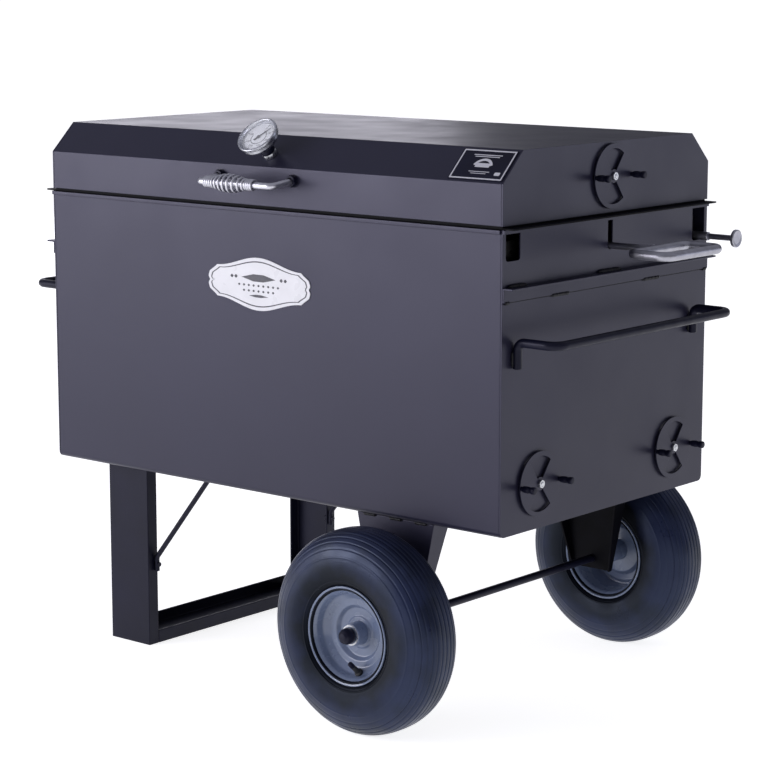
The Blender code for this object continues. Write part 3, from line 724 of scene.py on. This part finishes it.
def hinge_screws():
    """Domed screws that hold each hinge leaf."""
    dome = [(0, 0), (0, 0.0045), (0.0008, 0.0043), (0.0022, 0.003), (0.0027, 0)]
    from_edge, from_end = 0.009, 0.012
    for _, name in SIDES:
        for part, body in (("body", ROOT), ("lid", "lid")):
            low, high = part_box(f"hinge_leaf_{part}_{name}")
            height = low.z + from_edge if part == "body" else high.z - from_edge
            for i, x in enumerate((low.x + from_end, (low.x + high.x) / 2, high.x - from_end)):
                head = turned(dome, "Y", (x, HALF_Y + GAP + SHEET, height), 24)
                show(f"hinge_screw_{part}_{name}_{i}", head, "zinc", body)


def lid_handle():
    """Handle rod, and the nut and washer at each of its roots."""
    radius = 0.0058
    low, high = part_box("lid_handle_rod")
    right = high.x - radius
    left = low.x + radius
    bar_y, bar_z = low.y + radius, low.z + radius
    wall_z = bar_z + 0.006
    corners = [(left, high.y, wall_z), (left, bar_y, bar_z), (right, bar_y, bar_z), (right, high.y, wall_z)]
    stand_in("lid_handle_rod", sweep(soften(corners, 0.01, 8), radius, 24), "bright_steel")
    bore, across, washer_top = 0.0066, 0.0113, 0.0014
    for _, name in SIDES:
        node = f"lid_handle_nut_{name}"
        low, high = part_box(node)
        middle = (low + high) / 2
        place = facing((0, -1, 0), (middle.x, high.y, middle.z), radians(12))
        nut = hexagon(across, 0.0016, high.y - low.y, bore)
        washer = turned(soften(band(0, washer_top, bore, across), 0.0005, 3, True), "Z", ORIGIN, 40, True)
        stand_in(node, merged(moved(nut, place), moved(washer, place)), "black_paint")


def grip_spring():
    """Barrel-shaped coil grip: close turns at both ends, open ones over the bulge."""
    wire = 0.0023
    low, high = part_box("grip_spring")
    _, centre_y, centre_z = middle_of("grip_spring")
    widest = (high.z - low.z) / 2 - wire
    start, stop = low.x + wire, high.x - wire
    slim = 0.0086
    tight, wide = 0.0046, 0.0112
    collar, bulge = 0.13, 0.74
    steps = 460
    turn = 0.0
    path = []
    for i in range(steps + 1):
        share = i / steps
        inner = min(max((share - collar) / bulge, 0), 1)
        swell = sin(pi * inner)
        pitch = tight + (wide - tight) * min(1, swell * 1.8)
        turn += 2 * pi * (stop - start) / steps / pitch
        reach = slim + (widest - slim) * swell ** 1.3
        path.append((start + (stop - start) * share,
                     centre_y + reach * cos(turn), centre_z - reach * sin(turn)))
    stand_in("grip_spring", sweep(path, wire, 10), "bright_steel")


# -------- thermometer and label
NEEDLE = next(joint for joint in frame["joints"] if joint["name"] == "gauge_reading")
DIAL_WAY = -Vector(NEEDLE["axis"])
ON_CHAMFER = Matrix.Rotation(atan2(-DIAL_WAY.y, DIAL_WAY.z), 4, "X")
GAUGE = Matrix.Translation(NEEDLE["pos_m"]) @ ON_CHAMFER
DIAL_Z = 0.0465
PRINT_DEPTH = 0.0001
GAUGE_RADIUS = 0.0395
SCALE_START = radians(90 - 15)
SCALE_SWEEP = radians(270)


def gauge_turned(section, bend, steps, segments, closed=False):
    """A piece turned about the thermometer's axis, with the corners of its section rounded."""
    return moved(turned(soften(section, bend, steps, closed), "Z", ORIGIN, segments, closed), GAUGE)


def gauge_body():
    """Case with a rolled bezel, a stem with four threads showing, two nuts and a collar."""
    rim = GAUGE_RADIUS
    case = [(0.035, 0), (0.035, rim - 0.006), (0.041, rim - 0.002), (0.047, rim - 0.002),
            (0.049, rim), (0.0535, rim), (0.0545, rim - 0.003), (0.0507, rim - 0.0042),
            (0.0485, rim - 0.005), (0.037, rim - 0.007), (0.037, 0)]
    stand_in("gauge_case", gauge_turned(case, 0.001, 4, 96), "chrome")
    tip, shoulder, top = -0.07, -0.006, 0.0347
    probe, stem = 0.003, 0.0055
    line = [(tip, 0), (tip, probe), (shoulder, probe), (shoulder, stem), (top, stem), (top, 0)]
    rod = turned(soften(line, 0.0008, 3), "Z", ORIGIN, 32)
    root, crest, rise = 0.005, 0.0062, 0.0007
    threads = [turned([(z, root), (z + rise, crest), (z + 2 * rise, root)], "Z", ORIGIN, 24)
               for z in (0.008, 0.0095, 0.011, 0.0125)]
    stand_in("gauge_stem", moved(merged(rod, *threads), GAUGE), "zinc")
    bore = 0.0056
    nuts = [hexagon(0.015, 0.0004, 0.0095, bore), hexagon(0.0175, 0.0225, 0.0335, bore)]
    moved(nuts[1], Matrix.Rotation(radians(17), 4, "Z"))
    for name, nut in zip(("lower", "upper"), nuts):
        show(f"gauge_nut_{name}", moved(nut, GAUGE), "zinc", "lid")
    collar = gauge_turned(band(0.0098, 0.0222, bore, 0.0135), 0.0008, 3, 48, True)
    show("gauge_collar", collar, "black_paint", "lid")


def dial():
    """White dial with a graduated ring, a thin inner ring and plain figures."""
    face = gauge_turned(band(0.0452, DIAL_Z, 0, 0.0333), 0.0003, 2, 72)
    stand_in("gauge_dial", face, "dial_white")
    low, top = DIAL_Z - PRINT_DEPTH, DIAL_Z + 0.00015
    divisions, major_every, figures = 60, 10, 6
    marks = []
    for i in range(divisions + 1):
        a = SCALE_START - SCALE_SWEEP * i / divisions
        inner, half = (0.0268, 0.0006) if i % major_every == 0 else (0.0292, 0.00028)
        tick = slab(rectangle(inner, 0.0322, -half, half), [], "Z", low, top, 0)
        marks.append(moved(tick, Matrix.Rotation(a, 4, "Z")))
    show("dial_scale", moved(merged(*marks), GAUGE), "print_ink", "lid")
    first, last = degrees(SCALE_START - SCALE_SWEEP), degrees(SCALE_START)
    ring = arc((0, 0), 0.0165, first, last, 60) + arc((0, 0), 0.0152, last, first, 60)
    show("dial_band", moved(slab(ring, [], "Z", low, top, 0), GAUGE), "print_ink", "lid")
    figure_ring, figure_size, figure_step = 0.0218, 0.0064, 50
    for i in range(figures + 1):
        a = SCALE_START - SCALE_SWEEP * i / figures
        value = i * figure_step
        at = (figure_ring * cos(a), figure_ring * sin(a), DIAL_Z)
        figure(f"dial_figure_{value}", str(value), at, figure_size)


def figure(name, text, at, size):
    """A figure on the dial, as a thin mesh."""
    curve = bpy.data.curves.new(name, "FONT")
    curve.body = text
    curve.size = size
    curve.align_x = "CENTER"
    curve.align_y = "CENTER"
    curve.extrude = PRINT_DEPTH
    letters = linked(name, curve)
    bpy.context.view_layer.update()
    depsgraph = bpy.context.evaluated_depsgraph_get()
    mesh = bpy.data.meshes.new_from_object(letters.evaluated_get(depsgraph))
    bpy.data.objects.remove(letters, do_unlink=True)
    bm = bmesh.new()
    bm.from_mesh(mesh)
    show(name, moved(bm, GAUGE @ Matrix.Translation(at)), "print_ink", "lid")


def pointer_and_glass():
    refined("gauge_pointer", "print_ink", 0.0002, 1)
    glass = gauge_turned(band(0.049, 0.0506, 0, 0.0358), 0.0003, 2, 72)
    stand_in("gauge_glass", glass, "clear_glass")


def label_plate():
    """Black plate with a silver border, an arch over a block, and plain bars instead of print."""
    low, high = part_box("label_plate")
    place = Matrix.Translation((low + high) / 2) @ ON_CHAMFER
    half_x, half_y, half_z = 0.058, 0.034, 0.0005
    outline = soften(rectangle(-half_x, half_x, -half_y, half_y), 0.002, 4, True)
    plate = slab(outline, [], "Z", -half_z, half_z, 0.0003)
    stand_in("label_plate", moved(plate, place), "black_paint", sheet=True)
    print_low, print_high = half_z - PRINT_DEPTH, half_z + 0.0002

    def printed(shape, *holes):
        return slab(shape, holes, "Z", print_low, print_high, 0)

    def block(left, right, bottom, top, radius=0.0006):
        return printed(soften(rectangle(left, right, bottom, top), radius, 3, True))

    loops = []
    for inset_x, inset_y in ((0.0028, 0.0015), (0.0055, 0.0042)):
        x, y = half_x - inset_x, half_y - inset_y
        loops.append(soften(rectangle(-x, x, -y, y), 0.001, 3, True))
    bow = arc((0, -0.008), 0.0215, 20, 160, 20) + arc((0, -0.008), 0.0165, 160, 20, 20)
    marks = [printed(*loops), block(-0.03, 0.03, 0.0205, 0.0222), block(-0.026, 0.026, 0.0168, 0.0183),
             block(-0.015, 0.015, -0.006, 0.003), block(-0.022, 0.022, -0.0165, -0.0152),
             block(-0.016, 0.016, -0.0205, -0.0193), block(0.034, 0.046, -0.0225, -0.0155, 0.002),
             printed(bow)]
    show("label_print", moved(merged(*marks), place), "silver_print", "lid")


# -------- rotary air vents
DAMPER_RADIUS = 0.0575
DAMPER_LAYER = (0.0035, 0.006)
PEG_OFFSET = 0.0545
# (out from the wall, radius) points.
PEG = ((0.005, 0), (0.005, 0.004), (0.009, 0.0043), (0.011, 0.0056), (0.02, 0.0062),
       (0.0255, 0.0052), (0.029, 0.0064), (0.0348, 0.0066), (0.036, 0.005), (0.036, 0))
STUD = ((0, 0), (GAP, 0.004), (0.0105, 0.004), (0.0114, 0.0032), (0.0117, 0.0015), (0.0118, 0))


def vents():
    for side, name in SIDES:
        for spot in ("front", "rear", "lid"):
            damper(side, f"{name}_{spot}")


def damper(side, label):
    """Disc with two sector openings and two pegs, on a bolt with a spacer and a nut."""
    node = f"vent_damper_{label}"
    _, y, z = middle_of(node)
    wall = WALL_X[side]
    near, far = sorted(wall + side * layer for layer in DAMPER_LAYER)
    opening, hub, half_angle = 0.049, 0.012, 37
    cuts = [circle((y, z), 0.0045, 24)]
    for middle in (90, 270):
        start, stop = middle - half_angle, middle + half_angle
        cuts.append(arc((y, z), opening, start, stop, 22) + arc((y, z), hub, stop, start, 8))
    disc = slab(circle((y, z), DAMPER_RADIUS, 96), cuts, "X", near, far, 0.0004)
    stand_in(node, disc, "charcoal_paint", sheet=True)

    def outward(section):
        return [(wall + side * along, radius) for along, radius in section]

    for offset, place in ((-PEG_OFFSET, "a"), (PEG_OFFSET, "b")):
        peg = turned(soften(outward(PEG), 0.0025, 3), "X", (0, y + offset, z), 32)
        show(f"damper_peg_{label}_{place}", peg, "black_paint", BODY_OF[node])
    stud = turned(outward(STUD), "X", (0, y, z), 32)
    spacer = turned(outward(band(GAP, 0.0032, 0.0042, 0.0095)), "X", (0, y, z), 32, True)
    out = facing((side, 0, 0), (wall, y, z), radians(10))
    inward = facing((-side, 0, 0), (wall - side * SHEET, y, z))
    across = 0.0078
    nut = moved(hexagon(across, 0.0063, 0.0106, 0.0042), out)
    head = moved(hexagon(across, GAP, 0.0046), inward)
    stand_in(f"vent_bolt_{label}", merged(stud, spacer, nut, head), "zinc")


# -------- pivoting grate
def rod_grid(node):
    """Edge bars, round cross rods and three ties of a cooking grate."""
    low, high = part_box(node)
    radius = (high.z - low.z) / 2
    z = low.z + radius
    inner = -1 if node == "upper_grate" else 1
    bars = []
    for y in (low.y + radius, high.y - radius):
        bars.append(sweep([(low.x, y, z), (high.x, y, z)], radius, 12))
    for x in (low.x + radius, high.x - radius):
        bars.append(sweep([(x, low.y + 2 * radius, z), (x, high.y - 2 * radius, z)], radius, 12))
    pitch = 0.019
    count = round((high.x - low.x) / pitch)
    for i in range(1, count):
        x = low.x + (high.x - low.x) * i / count
        bars.append(sweep([(x, low.y + radius, z), (x, high.y - radius, z)], radius * 0.98, 10))
    tie_z = z + inner * radius * 1.9
    for share in (0.2, 0.5, 0.8):
        y = low.y + (high.y - low.y) * share
        bars.append(sweep([(low.x + radius, y, tie_z), (high.x - radius, y, tie_z)], radius, 12))
    stand_in(node, merged(*bars), "grate_steel")


def pivoting_grate():
    """Frame, both grids, and the shaft with its looped handle."""
    refined("grate_frame", "grate_steel", 0.0008)
    rod_grid("lower_grate")
    rod_grid("upper_grate")
    radius = 0.0085
    near_bend, far_bend = 0.016, 0.02
    low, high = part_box("flip_handle")
    near, far, half = low.x + radius, high.x - radius, high.y - radius
    z = (low.z + high.z) / 2
    corners = [(x, y, z) for x, y in rectangle(near, far, -half, half)]
    loop = soften(corners, [near_bend, far_bend, far_bend, near_bend], 9, True)
    stand_in("flip_handle", sweep(loop, radius, 24, closed=True), "stainless")
    low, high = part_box("pivot_shaft")
    shaft = soften(band(low.x, high.x + 0.003, 0, 0.006), 0.0006, 3)
    stand_in("pivot_shaft", turned(shaft, "X", (0, 0, z), 32), "stainless")
    ring = [(high.x - 0.0035, 0.0058), (high.x - 0.0015, 0.0078), (high.x + 0.0015, 0.0092),
            (high.x + 0.002, 0.0058)]
    ring = turned(soften(ring, 0.001, 3, True), "X", (0, 0, z), 32, True)
    show("handle_weld_ring", ring, "stainless", "grate")


def lock():
    """Sliding rod with a dished head, in the sleeve that guides it."""
    low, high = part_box("lock_rod")
    _, y, z = middle_of("lock_rod")
    head = (high.z - low.z) / 2
    radius = 0.0055
    dish = high.x - 0.0012
    rod = [(low.x, 0), (low.x, radius), (high.x - 0.0085, radius), (high.x - 0.007, head * 0.55),
           (high.x - 0.0062, head), (high.x - 0.0008, head), (high.x, head * 0.9), (dish, head * 0.62),
           (dish, 0)]
    stand_in("lock_rod", turned(soften(rod, 0.0007, 3), "X", (0, y, z), 48), "stainless")
    low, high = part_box("lock_sleeve")
    tube = soften(band(low.x, high.x, radius + GAP, (high.z - low.z) / 2), 0.0006, 3, True)
    stand_in("lock_sleeve", turned(tube, "X", (0, y, z), 40, True), "stainless")


# -------- wheels
def catmull(points, steps):
    """A smooth closed curve through points."""
    count = len(points)
    line = []
    for i in range(count):
        a, b, c, d = (Vector(points[(i + k) % count]) for k in (-1, 0, 1, 2))
        for k in range(steps):
            t = k / steps
            line.append(0.5 * (2 * b + (c - a) * t + (2 * a - 5 * b + 4 * c - d) * t * t
                               + (3 * b - a - 3 * c + d) * t ** 3))
    return line


# (across, width, depth) of each groove of the tread, and its mirror image.
GROOVES = ((0.0, 0.0017, 0.0017), (0.0105, 0.0017, 0.0017), (0.0205, 0.0016, 0.0016),
           (0.03, 0.0014, 0.0015), (0.038, 0.0011, 0.0013), (0.0448, 0.0008, 0.0011),
           (0.0502, 0.0006, 0.0009))
# (down from the tread, height) of each raised ring of the side wall.
WALL_RINGS = ((0.043, 0.0007), (0.0865, 0.0009))
# (across, down from the tread) of half the tyre's section.
TYRE_SECTION = ((0.02, 0.0013), (0.034, 0.0072), (0.0455, 0.0195), (0.054, 0.0385), (0.057, 0.059),
                (0.0545, 0.079), (0.0515, 0.089), (0.0475, 0.0945), (0.0425, 0.104))
# (across, radius, bend) of the rim's section; its lip is the same on both sides.
RIM_LIP = ((0.041, 0.0762, 0.012), (0.0478, 0.0822, 0.012), (0.0514, 0.0886, 0.0012),
           (0.0475, 0.0893, 0.0012), (0.0435, 0.0795, 0.002))
RIM_SECTION = ((-0.05, 0.0085, 0.0006), (0.0395, 0.0085, 0.0006), (0.0395, 0.02, 0.0012),
               (0.014, 0.0212, 0.0015), (0.0145, 0.0265, 0.002), (0.012, 0.03, 0.002),
               (0.012, 0.044, 0.004), (0.02, 0.05, 0.004), (0.02, 0.061, 0.005),
               (0.0285, 0.073, 0.008), *RIM_LIP, *[(-t, r, bend) for t, r, bend in reversed(RIM_LIP)],
               (0.0215, 0.0735, 0.004), (0.016, 0.064, 0.004), (0.016, 0.052, 0.004),
               (0.008, 0.045, 0.003), (0.008, 0.02, 0.002), (-0.05, 0.02, 0.0012))


def tyre_profile(radius):
    """Section of a ribbed cart tyre as (across, radius) points, grooves cut inwards."""
    tread_depth, ring_width = 0.035, 0.0011
    half = [(t, radius - down) for t, down in TYRE_SECTION]
    line = catmull([(0.0, radius), *half, *[(-t, r) for t, r in reversed(half)]], 14)
    count = len(line)
    shaped = []
    for i, point in enumerate(line):
        run = (line[(i + 1) % count] - line[i - 1]).normalized()
        outward = Vector((-run.y, run.x))
        across, depth = abs(point.x), 0.0
        if point.y > radius - tread_depth:
            for centre, width, cut in GROOVES:
                depth = max(depth, cut * exp(-((across - centre) / (width * 0.62)) ** 4))
        for down, lift in WALL_RINGS:
            if across > 0.03:
                depth -= lift * exp(-((point.y - (radius - down)) / ring_width) ** 2)
        shaped.append(point - outward * depth)
    return shaped


def wheel(side, name):
    """Tyre, pressed rim with its hub, a bearing ring at each end of the hub, and the valve."""
    tyre_low, tyre_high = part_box(f"tyre_{name}")
    centre = (tyre_low + tyre_high) / 2
    radius = (tyre_high.z - tyre_low.z) / 2
    profile = [(side * t, r) for t, r in tyre_profile(radius)]
    tyre = stand_in(f"tyre_{name}", turned(profile, "Y", centre, 144, True), "rubber", sharp=60)
    shares = [hypot(v.co.x - centre.x, v.co.z - centre.z) / radius for v in tyre.data.vertices]
    tyre.data.attributes.new(WALL_SHARE, "FLOAT", "POINT").data.foreach_set("value", shares)
    section = soften([(t, r) for t, r, bend in RIM_SECTION], [bend for t, r, bend in RIM_SECTION], 5, True)
    rim = turned([(side * t, r) for t, r in section], "Y", centre, 120, True)
    stand_in(f"rim_{name}", rim, "rim_enamel", sharp=50)
    body = BODY_OF[f"rim_{name}"]
    thickness = 0.0009
    for t, way, label in ((0.0396, 1, "out"), (-0.0501, -1, "in")):
        face = side * (t + way * thickness)
        seal = [(side * t, 0.0152), (side * t, 0.0184), (face, 0.018), (face, 0.0156)]
        show(f"bearing_{name}_{label}", turned(seal, "Y", centre, 48, True), "zinc", body)
    valve(side, name, centre, body)


def valve(side, name, centre, body):
    """Rubber valve stem through the outer flat of the rim, with its cap."""
    turn = radians(-82)
    out = Vector((cos(turn), 0, sin(turn)))
    root = centre + out * 0.069 + Vector((0, side * 0.0275, 0))
    way = (Vector((0, side, 0)) * 0.72 - out * 0.7).normalized()
    place = facing(way, root)
    stem = [(-0.004, 0), (-0.004, 0.0078), (0.0025, 0.0078), (0.0045, 0.0052), (0.02, 0.0042), (0.02, 0)]
    cap = [(0.0195, 0), (0.0195, 0.0047), (0.029, 0.0045), (0.0305, 0.003), (0.0305, 0)]
    parts = (("stem", stem, 0.001, "stem_rubber"), ("cap", cap, 0.0008, "black_paint"))
    for part, section, bend, surface in parts:
        piece = turned(soften(section, bend, 3), "Z", ORIGIN, 28)
        show(f"valve_{part}_{name}", moved(piece, place), surface, body)


def axle():
    """Straight axle and the domed cap on each end of it."""
    low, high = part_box("axle")
    x, _, z = middle_of("axle")
    bar = soften(band(low.y, high.y, 0, 0.0075), 0.0008, 3)
    stand_in("axle", turned(bar, "Y", (x, 0, z), 32), "black_paint")
    bore = 0.0078
    dome = soften([(0.0, bore), (0.0, 0.0138), (0.006, 0.0146), (0.0105, 0.0144), (0.0165, 0.0118),
                   (0.0205, 0.0065), (0.0215, 0), (0.0123, 0), (0.0123, bore)], 0.0012, 3)
    for side, name in ENDS:
        low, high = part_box(f"axle_cap_{name}")
        root = low.y if side > 0 else high.y
        profile = [(root + side * t, r) for t, r in dome]
        stand_in(f"axle_cap_{name}", turned(profile, "Y", (x, 0, z), 48, True), "black_paint")


# -------- brackets, legs and braces
def running_gear():
    """Axle brackets with their welds, both legs, the foot channel and the braces."""
    edge, steps = 0.0016, 3
    for side, name in ENDS:
        bracket = f"axle_bracket_{name}"
        # Painted shade: the rear bracket, in shadow behind the wheel, gets the darkened paint; the front one keeps
        # the body's paint.
        refined(bracket, "charcoal_paint" if side < 0 else "dark_paint", 0.0012, steps)
        low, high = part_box(bracket)
        face = high.y if side > 0 else low.y
        y, z = face + side * 0.0006, high.z - 0.0012
        for i, (start, stop) in enumerate(((0.015, 0.045), (0.075, 0.105), (0.132, 0.162))):
            weld(f"bracket_weld_{name}_{i}", (low.x + start, y, z), (low.x + stop, y, z), 0.0028)
        refined(f"{name}_leg", "black_paint", edge, steps)
        brace(name)
    refined("foot_channel", "black_paint", edge, steps)
    low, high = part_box("foot_channel")
    x = low.x + 0.012
    for y, name in ((low.y, "front"), (high.y, "rear")):
        weld(f"foot_weld_{name}", (x, y, high.z - 0.004), (x, y, low.z + 0.006), 0.0024)


def brace(name):
    """Diagonal round bar with a bolted lower end and a welded upper end."""
    node = f"leg_brace_{name}"
    radius = 0.005
    low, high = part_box(node)
    y = (low.y + high.y) / 2
    start, top = low.x + radius, high.z - radius
    corners = [(start, y, low.z), (start, y, low.z + 0.028), (high.x - 0.026, y, top), (high.x, y, top)]
    stand_in(node, sweep(soften(corners, 0.012, 6), radius, 20), "black_paint")
    bolt_z = low.z + 0.014
    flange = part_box(f"{name}_leg")[1].x
    head = moved(hexagon(0.0052, 0, 0.003), facing((1, 0, 0), (start + radius - 0.0008, y, bolt_z)))
    show(f"brace_bolt_{name}", head, "black_paint", ROOT)
    nut = moved(hexagon(0.0066, 0, 0.005), facing((-1, 0, 0), (flange - 0.0042, y, bolt_z)))
    show(f"brace_nut_{name}", nut, "black_paint", ROOT)
    bead_y, bead_z = y - 0.0048, high.z - 0.002
    weld(f"brace_weld_{name}", (high.x - 0.022, bead_y, bead_z), (high.x - 0.003, bead_y, bead_z), 0.0022)


# -------- camera, floor and light
LEVELS = {"floor": 0.83, "horizon": 0.12, "sky": 0.36, "key": 165, "back": 86, "right": 22, "low": 10}


def camera():
    data = bpy.data.cameras.new("camera")
    data.lens = 114.08
    data.sensor_width = 36
    item = linked("camera", data)
    item.location = (2.9495, -3.529, 1.345)
    item.rotation_euler = (radians(80.09), 0, radians(40.03))
    bpy.context.scene.camera = item


def floor():
    """Pale floor that glows, so that it stays white out to the horizon."""
    mesh = bpy.data.meshes.new("floor")
    reach = 600
    corners = [(x, y, 0) for x, y in rectangle(-reach, reach, -reach, reach)]
    mesh.from_pydata(corners, [], [(0, 1, 2, 3)])
    item = linked("floor", mesh)
    pale = Surface("floor", (0.8, 0.8, 0.8), 0.9, Specular_IOR_Level=0.0)
    pale.shader.inputs["Emission Color"].default_value = (1, 1, 1, 1)
    pale.shader.inputs["Emission Strength"].default_value = LEVELS["floor"]
    mesh.materials.append(pale.material)


def softbox(name, at, target, size, colour=(0.96, 0.94, 1.0)):
    data = bpy.data.lights.new(name, "AREA")
    data.shape = "RECTANGLE"
    data.size, data.size_y = size
    data.energy = LEVELS[name]
    data.color = colour
    item = linked(name, data)
    item.location = at
    item.rotation_euler = (Vector(target) - Vector(at)).to_track_quat("-Z", "Y").to_euler()


def studio():
    """Dim at the horizon and brighter overhead, with soft boxes in front, at the right and behind."""
    world = bpy.data.worlds.new("studio")
    bpy.context.scene.world = world
    world.use_nodes = True
    nodes, links = world.node_tree.nodes, world.node_tree.links
    place = nodes.new("ShaderNodeTexCoord")
    split = nodes.new("ShaderNodeSeparateXYZ")
    ramp = nodes.new("ShaderNodeValToRGB")
    links.new(place.outputs["Generated"], split.inputs["Vector"])
    links.new(split.outputs["Z"], ramp.inputs["Fac"])
    links.new(ramp.outputs["Color"], nodes["Background"].inputs["Color"])
    for stop, position, name in zip(ramp.color_ramp.elements, (0.18, 0.5), ("horizon", "sky")):
        level = LEVELS[name]
        stop.position = position
        stop.color = (level * 0.86, level * 0.87, level, 1)
    softbox("key", (-3.4, -4.4, 1.6), (0, 0, 0.6), (3.6, 2.4))
    softbox("back", (-6.5, 5.2, 1.7), (-1, 0.5, 0.6), (4.0, 2.8), (0.92, 0.9, 1.0))
    softbox("right", (5.5, 6.5, 1.6), (0.5, 0, 0.7), (3.0, 2.4), (0.74, 0.79, 1.0))
    softbox("low", (-1.6, -4.6, 0.9), (0, -0.3, 0.3), (1.6, 1.2))
    bpy.context.scene.view_settings.view_transform = "Standard"


body_shell()
bar_handles()
seam_welds()
front_plaque()
lid_panels()
hinge_screws()
lid_handle()
grip_spring()
gauge_body()
dial()
pointer_and_glass()
label_plate()
vents()
pivoting_grate()
lock()
for hand, wheel_name in ENDS:
    wheel(hand, wheel_name)
axle()
running_gear()
camera()
floor()
studio()
